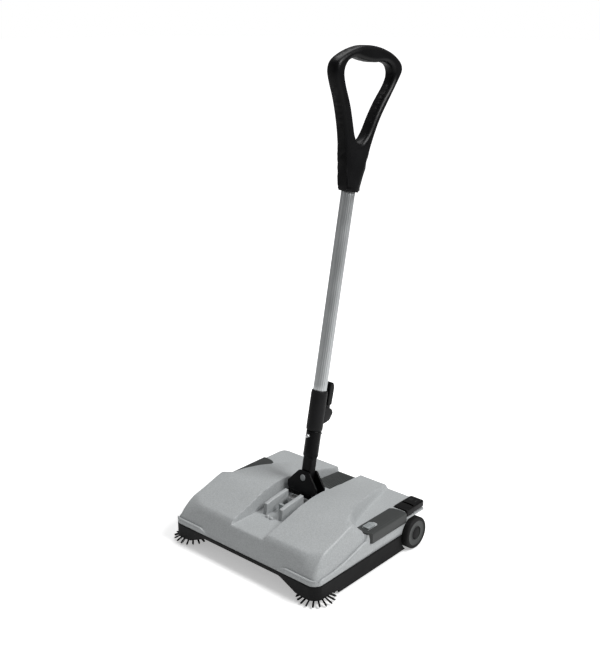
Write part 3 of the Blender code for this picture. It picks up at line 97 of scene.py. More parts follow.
def soft_min(first: Array, second: Array, reach: float) -> Array:
    """The smaller of two fields, with a round corner where they differ by less than reach.

    Formula: min(a, b) - (max(reach - |a - b|, 0) / reach)^2 * reach / 4.

    Args:
        first: One field.
        second: The other field.
        reach: Width of the rounding, in the fields' own unit.

    Returns:
        The blended field.
    """
    near = np.maximum(reach - np.abs(first - second), 0.0) / reach
    return np.minimum(first, second) - near * near * reach / 4.0


def soft_max(first: Array, second: Array, reach: float) -> Array:
    """The larger of two fields, with a round inner corner; soft_min with both signs turned."""
    return -soft_min(-first, -second, reach)


def soft_line(at: Array, knots: Array, values: Array, width: float) -> Array:
    """A broken line whose kinks are rounded: the mean of nine samples spread over width.

    Args:
        at: Where to read the line.
        knots: Places of its kinks.
        values: Values at the kinks.
        width: Length over which each kink is spread.

    Returns:
        The smoothed values.
    """
    shifts = np.linspace(-0.5, 0.5, 9) * width
    return np.mean([np.interp(at + shift, knots, values) for shift in shifts], axis=0)


def soften(points: Array, reach: float, steps: int = 5, closed: bool = True) -> Array:
    """Rounds every corner of a polyline.

    Each corner P becomes the quadratic curve (1-t)^2 A + 2t(1-t) P + t^2 B, where A and B lie `reach` from
    P along its two sides, or 45% of the side where that is shorter.

    Args:
        points: Corners, one row each.
        reach: Length taken from each side.
        steps: Points on each round corner.
        closed: Whether the last corner joins the first. An open line keeps its ends.

    Returns:
        The rounded polyline.
    """
    points = np.asarray(points, float)
    back, ahead = np.roll(points, 1, 0) - points, np.roll(points, -1, 0) - points
    rows = []
    for arm in (back, ahead):
        length = np.linalg.norm(arm, axis=1, keepdims=True)
        rows.append(points + arm / length * np.minimum(reach, 0.45 * length))
    t = np.linspace(0.0, 1.0, steps)[:, None, None]
    curve = (1 - t) ** 2 * rows[0] + 2 * t * (1 - t) * points + t**2 * rows[1]
    curve = curve.transpose(1, 0, 2)
    if closed:
        return curve.reshape(-1, points.shape[1])
    return np.concatenate([points[:1], curve[1:-1].reshape(-1, points.shape[1]), points[-1:]])


def resampled(line: Array, count: int) -> Array:
    """A polyline in the plane read at count places, spaced evenly over its corners' numbers.

    Args:
        line: Corners, one row each.
        count: Points wanted.

    Returns:
        The points.
    """
    step = np.linspace(0, len(line) - 1, count)
    return np.column_stack([np.interp(step, np.arange(len(line)), line[:, k]) for k in (0, 1)])


def rim_of(grid: Array) -> Array:
    """The border of a grid of values, walked once round from its first corner."""
    return np.concatenate([grid[0, :-1], grid[:-1, -1], grid[-1, :0:-1], grid[:0:-1, 0]])


def inward(outline: Array, inset: float) -> Array:
    """A closed outline moved inwards along its own normals, whichever way round it runs.

    Formula: each point moves by inset along the line square to the chord between its two neighbours.

    Args:
        outline: Points, one row each.
        inset: Distance inwards.

    Returns:
        The moved outline.
    """
    ahead, back = np.roll(outline, -1, 0), np.roll(outline, 1, 0)
    run = ahead - back
    run = run / np.maximum(np.linalg.norm(run, axis=1, keepdims=True), 1e-12)
    turn = np.sign(np.sum(outline[:, 0] * ahead[:, 1] - ahead[:, 0] * outline[:, 1]))
    return outline + turn * inset * np.stack([-run[:, 1], run[:, 0]], axis=1)


@dataclass(frozen=True)
class Axes:
    """A place and three directions: local points (a, b, c) go to origin + a x + b y + c z."""

    origin: tuple[float, float, float] = (0.0, 0.0, 0.0)
    x: tuple[float, float, float] = (1.0, 0.0, 0.0)
    y: tuple[float, float, float] = (0.0, 1.0, 0.0)
    z: tuple[float, float, float] = (0.0, 0.0, 1.0)

    def at(self, points: Array) -> Array:
        """Local points in the row frame."""
        return np.asarray(points, float) @ np.array([self.x, self.y, self.z]) + np.array(self.origin)

    def moved(self, a: float = 0.0, b: float = 0.0, c: float = 0.0) -> "Axes":
        """The same directions from another local place."""
        return Axes(tuple(self.at(np.array([a, b, c]))), self.x, self.y, self.z)


FLOOR = Axes()
ALONG_X = Axes(x=(0, 1, 0), y=(0, 0, 1), z=(1, 0, 0))


@dataclass
class Patch:
    """One grid of points of a mesh, with how it closes."""

    grid: Array
    wrap_u: bool = False
    wrap_v: bool = False
    cap_start: bool = False
    cap_end: bool = False

    def faces(self, start: int) -> list[list[int]]:
        """Quads between neighbours on the grid, and a polygon over each capped end ring.

        Args:
            start: Index of the patch's first vertex in the mesh.

        Returns:
            Faces as lists of vertex indices.
        """
        rows, columns = self.grid.shape[:2]
        i = np.arange(rows if self.wrap_u else rows - 1)[:, None]
        j = np.arange(columns if self.wrap_v else columns - 1)[None, :]
        below, beyond = (i + 1) % rows, (j + 1) % columns
        quads = np.stack(np.broadcast_arrays(i * columns + j, i * columns + beyond,
                                             below * columns + beyond,
                                             below * columns + j), axis=-1)
        found = (quads.reshape(-1, 4) + start).tolist()
        if self.cap_start:
            found.append((start + np.arange(columns)[::-1]).tolist())
        if self.cap_end:
            found.append((start + (rows - 1) * columns + np.arange(columns)).tolist())
        return found


def mesh_from(name: str, patches: list[Patch], weld: float = 2e-6) -> bpy.types.Mesh:
    """Makes one mesh of several patches, welds their shared edges and turns the faces outwards.

    Args:
        name: The mesh's name.
        patches: Grids, in the row frame.
        weld: Distance under which points are one.

    Returns:
        The mesh.
    """
    points, faces = [], []
    for patch in patches:
        faces += patch.faces(sum(len(found) for found in points))
        points.append(patch.grid.reshape(-1, 3))
    mesh = bpy.data.meshes.new(name)
    mesh.from_pydata(np.concatenate(points).tolist(), [], faces)
    shape = bmesh.new()
    shape.from_mesh(mesh)
    bmesh.ops.remove_doubles(shape, verts=shape.verts, dist=weld)
    bmesh.ops.dissolve_degenerate(shape, edges=shape.edges, dist=weld / 4)
    bmesh.ops.recalc_face_normals(shape, faces=shape.faces)
    shape.to_mesh(mesh)
    shape.free()
    return mesh


def turned(profile: Array, axes: Axes, segments: int = 48, closed: bool = False) -> Patch:
    """A profile turned about the local z axis: (r cos t, r sin t, h) for each (r, h) and each t.

    Args:
        profile: Rows of radius and height. Ends on the axis become poles.
        axes: Where the turning axis is.
        segments: Steps round the axis.
        closed: Whether the profile is a ring of its own, as on a washer.

    Returns:
        The patch.
    """
    turn = np.linspace(0.0, 2 * math.pi, segments, endpoint=False)
    profile = np.asarray(profile, float)
    radius, height = profile[:, :1], profile[:, 1:]
    grid = np.stack([radius * np.cos(turn), radius * np.sin(turn), height + 0 * turn], axis=-1)
    return Patch(axes.at(grid), wrap_u=closed, wrap_v=True)


def slab(outline: Array, low: float, high: float, axes: Axes, edge: float = 0.6 * MM,
         rings: int = 4) -> Patch:
    """A plate with round edges: drawn in by e(1 - sin t) where its height is e(1 - cos t) from a face.

    Args:
        outline: Closed outline in the local x-y plane.
        low: Local z of the lower face.
        high: Local z of the upper face.
        axes: The plate's place.
        edge: Radius of the rounding.
        rings: Steps over each rounding.

    Returns:
        A closed patch.
    """
    turn = np.linspace(0.0, math.pi / 2, rings)
    insets, rises = edge * (1 - np.sin(turn)), edge * (1 - np.cos(turn))
    levels = [(inset, low + rise) for inset, rise in zip(insets, rises)]
    levels += [(inset, high - rise) for inset, rise in zip(insets[::-1], rises[::-1])]
    outline = np.asarray(outline, float)
    grid = [np.column_stack([inward(outline, inset), np.full(len(outline), level)]) for inset,
            level in levels]
    return Patch(axes.at(np.array(grid)), wrap_v=True, cap_start=True, cap_end=True)


def swept(path: Array, radius: Array, sides: int = 8, closed: bool = False) -> Patch:
    """A round section of the given radius carried along a path, its plane square to the path's direction.

    The section's first direction is the world axis least along the path, made square to it at each point.

    Args:
        path: Points, one row each.
        radius: One radius, or one for each point.
        sides: Corners of the section.
        closed: Whether the path is a loop.

    Returns:
        The patch.
    """
    path = np.asarray(path, float)
    run = np.roll(path, -1, 0) - np.roll(path, 1, 0) if closed else np.gradient(path, axis=0)
    run = run / np.linalg.norm(run, axis=1, keepdims=True)
    aim = np.zeros(3)
    aim[int(np.argmin(np.abs(run).sum(0)))] = 1.0
    across = np.cross(run, aim)
    across = across / np.linalg.norm(across, axis=1, keepdims=True)
    other = np.cross(run, across)
    turn = np.linspace(0.0, 2 * math.pi, sides, endpoint=False)[None, :, None]
    ring = np.cos(turn) * across[:, None] + np.sin(turn) * other[:, None]
    size = np.broadcast_to(np.asarray(radius, float), (len(path),))[:, None, None]
    return Patch(path[:, None] + size * ring, wrap_u=closed, wrap_v=True, cap_start=not closed,
                 cap_end=not closed)


def box_outline(low: tuple[float, float], high: tuple[float, float], corner: float) -> Array:
    """A rectangle with round corners, as a closed outline."""
    return soften(np.array([low, (high[0], low[1]), high, (low[0], high[1])]), corner, steps=7)


# ---- finishes ----------------------------------------------------------------------------------------------
def linear(code: str) -> tuple[float, float, float, float]:
    """An sRGB hex colour as linear RGBA: c/12.92 below 0.04045, else ((c + 0.055)/1.055)^2.4.

    Args:
        code: Colour as #RRGGBB.

    Returns:
        Red, green, blue and full alpha.
    """
    parts = np.array([int(code[k:k + 2], 16) for k in (1, 3, 5)]) / 255.0
    flat = np.where(parts <= 0.04045, parts / 12.92, ((parts + 0.055) / 1.055) ** 2.4)
    return (*flat.tolist(), 1.0)


def add_node(tree: bpy.types.NodeTree, kind: str, inputs: dict | None = None,
             **settings: object) -> bpy.types.Node:
    """Adds one node with its settings, its socket values and its incoming links.

    Args:
        tree: The material's or world's node tree.
        kind: Blender's name of the node type.
        inputs: Socket name or number, to a value or to another node's output socket.
        **settings: The node's own attributes.

    Returns:
        The node.
    """
    node = tree.nodes.new(kind)
    for name, value in settings.items():
        setattr(node, name, value)
    for name, value in (inputs or {}).items():
        if isinstance(value, bpy.types.NodeSocket):
            tree.links.new(value, node.inputs[name])
        else:
            node.inputs[name].default_value = value
    return node


@dataclass(frozen=True)
class Finish:
    """A surface finish: its colour, how it scatters light, and the size and depth of its texture."""

    name: str
    colour: str
    second: str                 # colour that the first drifts towards
    roughness: float
    grain_mm: float             # size of the moulded or drawn texture
    depth_mm: float             # height of that texture
    drift_mm: float = 60.0      # size of the patches of slightly different gloss and colour
    gloss_spread: float = 0.06
    metallic: float = 0.0
    coat: float = 0.0
    alpha: float = 1.0
    stretch: tuple[float, float, float] = (1.0, 1.0, 1.0)
    fleck: float = 0.0          # strength of bright pigment flecks
    ior: float = 1.5
    # Blender's specular level; a textured skin scatters part of its highlight away
    specular: float = 0.5

    def material(self) -> bpy.types.Material:
        """Builds the material once: drifting colour and gloss, flecks, and a bump of the real height.

        Returns:
            The material, shared by every piece with this finish.
        """
        found = bpy.data.materials.get(self.name)
        if found:
            return found
        made = bpy.data.materials.new(self.name)
        made.use_nodes = True
        tree = made.node_tree
        shader = tree.nodes["Principled BSDF"]
        place = add_node(tree, "ShaderNodeTexCoord").outputs["Object"]
        scaled = add_node(tree, "ShaderNodeMapping", {"Vector": place, "Scale": self.stretch}).outputs[0]
        drift = add_node(tree, "ShaderNodeTexNoise", {"Vector": place, "Scale": 1 / (self.drift_mm * MM),
                                                      "Detail": 3.0,
                                                      "Roughness": 0.6})
        grain = add_node(tree, "ShaderNodeTexNoise", {"Vector": scaled, "Scale": 1 / (self.grain_mm * MM),
                                                      "Detail": 2.0,
                                                      "Roughness": 0.55})
        mixed = add_node(tree, "ShaderNodeMix", {0: drift.outputs["Fac"], 6: linear(self.colour),
                                                 7: linear(self.second)}, data_type="RGBA")
        colour = mixed.outputs[2]
        if self.fleck:
            colour = self._flecks(tree, place, colour)
        tree.links.new(colour, shader.inputs["Base Color"])
        gloss = add_node(tree, "ShaderNodeMapRange", {"Value": drift.outputs["Fac"], "From Min": 0.3,
                                                      "From Max": 0.7,
                                                      "To Min": self.roughness - self.gloss_spread,
                                                      "To Max": self.roughness + self.gloss_spread})
        tree.links.new(gloss.outputs["Result"], shader.inputs["Roughness"])
        bump = add_node(tree, "ShaderNodeBump", {"Height": grain.outputs["Fac"], "Strength": 1.0,
                                                 "Distance": self.depth_mm * MM})
        tree.links.new(bump.outputs["Normal"], shader.inputs["Normal"])
        shader.inputs["Metallic"].default_value = self.metallic
        shader.inputs["IOR"].default_value = self.ior
        shader.inputs["Specular IOR Level"].default_value = self.specular
        shader.inputs["Coat Weight"].default_value = self.coat
        shader.inputs["Coat Roughness"].default_value = 0.25
        shader.inputs["Alpha"].default_value = self.alpha
        return made

    def _flecks(self, tree: bpy.types.NodeTree, place: bpy.types.NodeSocket,
                colour: bpy.types.NodeSocket) -> bpy.types.NodeSocket:
        """Mica flecks of the silver pigment: 0.05 mm in the real plastic, and drawn 2.2 mm to show at all.

        Args:
            tree: The material's node tree.
            place: Object coordinates.
            colour: The colour under the flecks.

        Returns:
            The speckled colour.
        """
        speck = add_node(tree, "ShaderNodeTexNoise",
                         {"Vector": place, "Scale": 1 / (2.2 * MM), "Detail": 1.0})
        level = add_node(tree, "ShaderNodeMapRange", {"Value": speck.outputs["Fac"], "From Min": 0.32,
                                                      "From Max": 0.68, "To Min": 1 - self.fleck,
                                                      "To Max": 1 + self.fleck})
        tinted = add_node(tree, "ShaderNodeVectorMath", {0: colour, 1: level.outputs["Result"]},
                          operation="MULTIPLY")
        return tinted.outputs[0]


@dataclass(frozen=True)
class Palette:
    """Every finish on the sweeper."""

    # ABS with silver pigment, from a finely spark-eroded mould: satin, faintly speckled, soft highlights
    cover: Finish = Finish("silver_pigment_abs", "#A3A6A7", "#ABAEAF", 0.42, 1.6, 0.012, fleck=0.10)
    # black ABS, coarser mould texture: dull, nearly no highlight
    chassis: Finish = Finish("black_texture_abs", "#0C0C0D", "#111112", 0.55, 1.4, 0.03, specular=0.16)
    # dark grey ABS, satin
    insert: Finish = Finish("dark_grey_abs", "#343636", "#3A3C3B", 0.42, 1.2, 0.012, specular=0.35)
    # black ABS, polished a little by the foot
    switch: Finish = Finish("black_switch_abs", "#070708", "#0C0C0D", 0.36, 1.5, 0.012, drift_mm=12.0,
                            specular=0.16)
    # light grey ABS
    button: Finish = Finish("light_grey_abs", "#8E9394", "#969B9C", 0.42, 1.0, 0.01)
    # black glass-filled polypropylene of the handle: satin with a faint orange-peel skin
    handle: Finish = Finish("black_polypropylene", "#050506", "#08080A", 0.36, 3.0, 0.02, drift_mm=35.0,
                            specular=0.16)
    # the same plastic from a texture-eroded mould, on the sleeve: greyer and duller
    sleeve: Finish = Finish("black_textured_polypropylene", "#151516", "#1B1B1C", 0.5, 1.1, 0.05,
                            drift_mm=20.0, specular=0.2)
    # drawn aluminium tube, natural anodised: fine lines along its length, soft metal gloss
    tube: Finish = Finish("anodised_aluminium", "#C6C9CA", "#D0D3D4", 0.36, 0.6, 0.006, metallic=1.0,
                          stretch=(1.0, 1.0, 0.02), gloss_spread=0.04)
    # zinc-plated steel: bright with fine grinding marks
    steel: Finish = Finish("zinc_plated_steel", "#B9BABB", "#C9CACA", 0.28, 0.7, 0.008, metallic=1.0,
                           stretch=(1.0, 0.15, 1.0), drift_mm=9.0)
    # the same steel, tumbled dull, on the neck's rivet
    rivet: Finish = Finish("tumbled_steel", "#8E9192", "#989B9C", 0.5, 0.7, 0.008, metallic=0.6,
                           drift_mm=9.0)
    # vulcanised rubber: matt, slightly grey with bloom
    rubber: Finish = Finish("black_rubber", "#0E0E0E", "#141414", 0.7, 1.0, 0.02, drift_mm=14.0,
                            specular=0.3)
    # black nylon monofilament: dark with a soft sheen along each bristle
    bristle: Finish = Finish("black_nylon_bristle", "#050505", "#090909", 0.5, 0.8, 0.01, drift_mm=8.0,
                             specular=0.2)
    # smoke-grey polystyrene of the dust bin
    bin: Finish = Finish("smoke_polystyrene", "#2C2D2F", "#333437", 0.22, 2.5, 0.008)
    # heat-shrunk film round the battery cells
    wrap: Finish = Finish("blue_shrink_film", "#16345F", "#1B3E70", 0.3, 6.0, 0.08, drift_mm=18.0)


def dress(mesh: bpy.types.Mesh, finish: Finish, body: str, *, stands_for: tuple[str, ...] = (),
          shading: Shading = Shading.NORMAL, wall: float = 0.0) -> bpy.types.Object:
    """Puts a mesh in the scene as a finished piece that rides on a body.

    Args:
        mesh: The piece's mesh, in the row frame.
        finish: Its finish.
        body: The CAD body it rides on.
        stands_for: CAD nodes that it replaces.
        shading: The widest angle that is shaded smooth.
        wall: Thickness given inwards to an open surface, or 0.

    Returns:
        The object.
    """
    obj = bpy.data.objects.new(mesh.name, mesh)
    bpy.context.scene.collection.objects.link(obj)
    mesh.materials.append(finish.material())
    mesh.shade_smooth()
    mesh.set_sharp_from_angle(angle=math.radians(shading.value))
    if wall:
        shell = obj.modifiers.new("wall", "SOLIDIFY")
        shell.thickness = wall
        shell.offset = -1.0
    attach(obj, body)
    if stands_for:
        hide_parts(*stands_for)
    LOG.info("%s on %s: %d faces, %s", obj.name, body, len(mesh.polygons), finish.name)
    return obj


def redress(finish: Finish, *nodes: str) -> None:
    """Gives CAD nodes that are shown as they are one of the finishes above."""
    for node in nodes:
        obj = frame["nodes"][node]
        obj.data.materials.clear()
        obj.data.materials.append(finish.material())
        LOG.info("%s keeps its CAD shape: %s", node, finish.name)


# ---- the body ----------------------------------------------------------------------------------------------
@dataclass(frozen=True)
class BodyPlan:
    """Sizes that the body's shells share. y is counted from the body's front; `row_y` gives the row's."""

    half: float = 0.173
    depth: float = 0.303
    corner: float = 0.018
    rim: float = 0.0378             # joint between the grey cover and the black chassis
    lip: float = 0.0475             # top of the ledge at the front
    ledge_in: float = 0.005         # groove behind the ledge, in from the body's side and front
    ridge_in: float = 0.013         # where the arched top starts to turn down to the side
    edge_round: float = 0.0032      # rounding of the cover's outer edge
    groove_depth: float = 0.0011
    groove_half: float = 0.0008
    trough_slope: float = 7.0       # rise of the trough's walls over their width
    brow_y: float = 0.022
    brow: float = 0.0767
    shoulder: float = 0.079
    trough_floor: float = 0.070
    panel_front: float = 0.228
    panel_floor: float = 0.0735
    wheel_y: float = 0.271
    wheel_z: float = 0.030
    arch_radius: float = 0.0335
    well_x: float = 0.149
    switch_x: float = 0.1453
    switch_front: float = 0.2480
    switch_floor: float = 0.0677
    insert_seat: float = 0.0776     # height of the cover under the insert's front end
    front: float = field(default_factory=lambda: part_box("top_cover")[0].y)

    def insert_front(self, x: Array) -> Array:
        """Front end of the dark insert: an arc that bulges forwards in the middle."""
        return np.interp(x, (0.1428, 0.148, 0.154, 0.162, 0.170, 0.1766),
                         (0.1435, 0.1402, 0.1384, 0.1382, 0.1412, 0.1468))

    def row_y(self, y: Array) -> Array:
        """y from the body's front as the row's y."""
        return y + self.front

    def arch(self, y: Array) -> Array:
        """Height of the arched top: a smoothed broken line that climbs to the crown and falls to the tail.

        Args:
            y: From the body's front.

        Returns:
            Heights.
        """
        knots = np.array([0.0, 0.022, 0.0615, 0.1065, 0.147, 0.172, 0.210, 0.263, 0.303])
        heights = np.array([0.0767, 0.0767, 0.0868, 0.1013, 0.1065, 0.1060, 0.0995, 0.092, 0.0845])
        return soft_line(y, knots, heights, 0.022)

    def ledge(self, y: Array) -> Array:
        """Height of the ledge along the side: level at the front, climbing to the flat shoulder.

        Args:
            y: From the body's front.

        Returns:
            Heights.
        """
        knots = np.array([0.0, 0.030, 0.045, 0.078, 0.116, 0.146, 0.154])
        heights = np.array([0.0475, 0.0465, 0.0470, 0.0526, 0.0629, 0.0691, 0.0790])
        return soft_line(y, knots, heights, 0.005)

    def scoop_x(self, y: Array) -> Array:
        """Where the arched top ends beside the shoulder."""
        return soft_line(y, np.array([0.145, 0.155, 0.195, 0.235, 0.295, 0.303]),
                         np.array([0.130, 0.125, 0.1125, 0.1025, 0.090, 0.088]), 0.012)

    def trough_half(self, y: Array) -> Array:
        """Half the width of the trough that the handle stands in, narrowing over the battery."""
        return soft_line(y, np.array([0.022, 0.19, 0.24, 0.303]), np.array([0.040, 0.0385, 0.0345, 0.0262]),
                         0.02)

    def fallen(self, x: Array, y: Array) -> Array:
        """How far the arched top has dropped to the shoulder, 0 to 1.

        Formula: t = (y - edge(x)) / run(x), the way past the top's edge over the length of the drop. Ahead
        of the insert the drop is the smooth step of t; beside the shoulder it is 1 - (1 - t)^2.4, a steep
        wall with a hollow foot.

        Args:
            x: Distance from the middle plane.
            y: From the body's front.

        Returns:
            The share of the drop.
        """
        xs = np.array([0.080, 0.088, 0.090, 0.1025, 0.1125, 0.125, 0.130, 0.140, 0.160, 0.173])
        edge = soft_line(x, xs, np.array([0.345, 0.303, 0.295, 0.235, 0.195, 0.155, 0.145, 0.120, 0.1065,
                                          0.104]), 0.004)
        run = soft_line(x, xs, np.array([0.04, 0.04, 0.04, 0.036, 0.032, 0.024, 0.016, 0.027, 0.040,
                                         0.042]), 0.004)
        t = np.clip((y - edge) / run, 0.0, 1.0)
        ramp = ease((x - 0.127) / 0.010)
        return ramp * ease(t) + (1 - ramp) * (1 - (1 - t) ** 2.4)

    def height(self, x: Array, y: Array, notch: bool = True) -> Array:
        """Height of the cover's outside over the floor.

        The arched top drops to the shoulders, meets the front wall and the side walls in round ridges, and
        stands on a ledge behind a groove. The trough is cut in with steep walls. The outer edge is rounded.

        Args:
            x: From the middle plane, either sign.
            y: From the body's front.
            notch: Whether the seat of the foot switch is cut out.

        Returns:
            Heights.
        """
        side = x
        x = np.abs(x)
        top = self.arch(y)
        top = top - (top - self.shoulder) * self.fallen(x, y)
        corner = ease((x - 0.084) / 0.022)
        foot_y, foot = 0.0010 + (self.ledge_in - 0.0010) * corner, 0.0405 + (self.lip - 0.0405) * corner
        ledge = np.minimum(self.ledge(y), top)
        wall_in = (self.half - self.ledge_in - x) / (self.ridge_in - self.ledge_in)
        climb = np.clip(soft_min(wall_in, np.ones_like(x), 0.5), 0.0, 1.0)
        hood = ledge + (top - ledge) * climb
        front = foot + (self.brow - foot) * np.maximum(y - foot_y, 0.0) / (self.brow_y - foot_y)
        hood = soft_min(hood, front, 0.009 + 0.024 * ease((x - 0.120) / 0.040))
        hood = np.where(y < foot_y, np.minimum(foot, ledge), hood)
        edge, floor = self.trough_half(y), np.where(y > 0.2, 0.0775, self.trough_floor)
        floor = np.where(y > self.panel_front, self.panel_floor, floor)
        wall = floor + self.trough_slope * np.maximum(x - edge, 0.0)
        hood = np.where(x < edge + 0.010, soft_min(hood, wall, 0.004), hood)
        rest = self.insert_seat - 1.3 * np.maximum(self.insert_front(x) + 0.0006 - y, 0.0)
        rest = rest - 4.0 * (np.maximum(x - 0.1712, 0.0) + np.maximum(0.1436 - x, 0.0))
        hood = np.where(y < 0.156, np.maximum(hood, np.minimum(rest, self.insert_seat)), hood)
        inner = np.minimum(self.half - self.ledge_in - x, y - foot_y)
        depth = np.where(y - foot_y < self.half - self.ledge_in - x, corner, 1 - ease((y - 0.138) / 0.012))
        hood = hood - self.groove_depth * depth * np.exp(-((inner / self.groove_half) ** 2))
        out = np.minimum(np.minimum(self.half - x, y), self.depth - y)
        radius = self.edge_round
        hood = hood - (radius - np.sqrt(np.maximum(radius**2 - np.maximum(radius - out, 0.0) ** 2, 0.0)))
        if not notch:
            return hood
        cut = (side > self.switch_x) & (y > self.switch_front)
        return np.where(cut, np.minimum(hood, self.switch_floor), hood)

    def rounded(self, x: Array, y: Array) -> tuple[Array, Array]:
        """Bends the plan's square corners to quarter circles.

        Formula: within a corner's square, with p and q the shares of its side, (p, q) goes to
        (p sqrt(1 - q^2/2), q sqrt(1 - p^2/2)).

        Args:
            x: From the middle plane.
            y: From the body's front.

        Returns:
            The bent x and y.
        """
        middle = self.depth / 2
        far_x, far_y = self.half - self.corner, middle - self.corner
        p = np.maximum(np.abs(x) - far_x, 0.0) / self.corner
        q = np.maximum(np.abs(y - middle) - far_y, 0.0) / self.corner
        bent_x = np.where(p > 0, far_x + self.corner * p * np.sqrt(1 - q * q / 2), np.abs(x))
        bent_y = np.where(q > 0, far_y + self.corner * q * np.sqrt(1 - p * p / 2), np.abs(y - middle))
        return np.copysign(bent_x, x), middle + np.copysign(bent_y, y - middle)

    def place(self, x: Array, y: Array, z: Array) -> Array:
        """Points of the row from body coordinates, with the plan's corners rounded."""
        bent_x, bent_y = self.rounded(x, y)
        return np.stack([bent_x, self.row_y(bent_y), z], axis=-1)

    def rim_walk(self, inset: float = 0.0, step: float = 0.003) -> tuple[Array, Array]:
        """The body's outline, walked once round from the left front corner, before the corners are bent.

        Args:
            inset: Distance in from the outline; negative is outside it.
            step: Spacing of the points.

        Returns:
            x and y of the points.
        """
        wide, deep = self.half - inset, self.depth - 2 * inset
        across = np.linspace(-wide, wide, round(2 * wide / step))[:-1]
        along = inset + np.linspace(0, deep, round(deep / step))[:-1]
        x = np.concatenate([across, np.full(len(along), wide), -across, np.full(len(along), -wide)])
        y = np.concatenate([np.full(len(across), inset), along, np.full(len(across), inset + deep),
                            2 * inset + deep - along])
        return x, y


@dataclass
class TopCover:
    """The silver-grey upper shell with its trough, ribs and lugs."""

    plan: BodyPlan
    palette: Palette
    wall: float = 0.0022
    rib_half: float = 0.0185
    rib_shift: float = -0.0035
    rib_front: float = 0.0855
    rib_rear: float = 0.146
    rib_width: float = 0.0085
    rib_foot: float = 0.0690
    ledge_low: float = 0.0642       # ledge of the cover under the foot switch
    ledge_top: float = 0.0676
    ledge_out: float = 0.1768

    def columns(self, y: Array) -> Array:
        """x of the grid's columns at each y.

        Columns lie evenly between guide lines that follow the cover's own edges: the trough's wall, the
        scoop's wall, the switch's seat, the ridge, the groove and the outer edge.

        Args:
            y: One value for each row of the grid.

        Returns:
            x, with a row for each y.
        """
        plan = self.plan
        level = np.ones_like(y)
        guides = [0 * level, plan.trough_half(y) - 0.0006, plan.trough_half(y) + 0.0062,
                  plan.scoop_x(y) - 0.0025,
                  plan.scoop_x(y) + 0.0125, 0.1451 * level, 0.1455 * level, 0.1488 * level, 0.1491 * level,
                  0.1565 * level, 0.1695 * level, plan.half * level]
        counts = (7, 10, 20, 16, 9, 1, 2, 1, 4, 18, 8)
        stretches = [low + (high - low) * np.linspace(0, 1, count, endpoint=False)[:, None]
                     for low, high, count in zip(guides, guides[1:], counts)]
        half = np.concatenate([*stretches, guides[-1][None]]).T
        return np.concatenate([-half[:, :0:-1], half], axis=1)

    def rows(self) -> Array:
        """y of the grid's rows, closer where the front wall, the ramps, the wheel arch and the edges are."""
        spans = ((0.0, 0.0075, 0.0006), (0.0075, 0.027, 0.0013), (0.027, 0.105, 0.0032),
                 (0.105, 0.156, 0.0017),
                 (0.156, 0.1985, 0.0032), (0.1985, 0.202, 0.0007), (0.202, 0.2274, 0.0032),
                 (0.2274, 0.2284, 0.0005),
                 (0.2284, 0.2368, 0.0028), (0.2368, 0.2478, 0.0012), (0.2478, 0.2483, 0.0003),
                 (0.2483, 0.2985, 0.0028),
                 (0.2985, 0.3030, 0.0006))
        return np.unique(np.concatenate([np.linspace(a, b, max(2, round((b - a) / step) + 1)) for a, b,
                                         step in spans]))

    def skirt_low(self, x: Array, y: Array) -> Array:
        """Lowest point of the cover's side wall: the rim, raised in a circle over each wheel.

        Args:
            x: From the middle plane.
            y: From the body's front.

        Returns:
            Heights.
        """
        plan = self.plan
        ahead = np.maximum(plan.wheel_y - y, 0.0)
        arch = plan.wheel_z + np.sqrt(np.maximum(plan.arch_radius**2 - ahead**2, 0.0))
        over = (np.abs(x) > plan.well_x) & (ahead < plan.arch_radius)
        return np.where(over, np.maximum(arch, plan.rim), plan.rim)

    def shell(self) -> bpy.types.Object:
        """The shell: a height over each point of the plan, and a wall down from its edge to the rim."""
        plan = self.plan
        y = self.rows()
        x = self.columns(y)
        y = np.broadcast_to(y[:, None], x.shape)
        z = plan.height(x, y)
        ring = [rim_of(values) for values in (x, y, z)]
        low = np.minimum(self.skirt_low(ring[0], ring[1]), ring[2])
        share = np.linspace(0.0, 1.0, 7)[:, None]
        walls = ring[2] + (low - ring[2]) * share
        side = plan.place(np.broadcast_to(ring[0], walls.shape), np.broadcast_to(ring[1], walls.shape),
                          walls)
        mesh = mesh_from("cover_shell", [Patch(plan.place(x, y, z)), Patch(side, wrap_v=True)])
        return dress(mesh, self.palette.cover, "body", stands_for=("top_cover",),
                     wall=self.wall)

    def ribs(self) -> bpy.types.Object:
        """Two upright ribs in the trough and the two low bosses ahead of the latch."""
        plan, patches = self.plan, []
        outline = np.array([(self.rib_front, self.rib_foot), (self.rib_front + 0.0030, 0.0905),
                            (self.rib_front + 0.022, 0.0940),
                            (self.rib_rear, 0.0985), (self.rib_rear, self.rib_foot)])
        outline = soften(outline, 0.0016)
        outline[:, 0] = plan.row_y(outline[:, 0])
        for side in Side:
            middle = self.rib_shift + side.value * self.rib_half
            patches.append(slab(outline, middle - self.rib_width / 2, middle + self.rib_width / 2, ALONG_X,
                                edge=0.0012))
        for x, y in ((-0.011, 0.082), (-0.001, 0.0805)):
            dome = np.array([(0.0, 0.0742), (0.0022, 0.0737), (0.0036, 0.0722), (0.0042, 0.0695)])
            patches.append(turned(dome, FLOOR.moved(x, float(plan.row_y(y))), 24))
        return dress(mesh_from("trough_ribs", patches), self.palette.cover, "body")

    def switch_ledge(self) -> bpy.types.Object:
        """The thin ledge of the cover that stands out under the foot switch."""
        plan = self.plan
        outline = box_outline((plan.switch_x + 0.004, float(plan.row_y(plan.switch_front + 0.001))),
                              (self.ledge_out, float(plan.row_y(plan.depth - 0.0006))), 0.0045)
        mesh = mesh_from("switch_ledge",
                         [slab(outline, self.ledge_low, self.ledge_top, FLOOR, edge=0.0010)])
        return dress(mesh, self.palette.cover, "body")

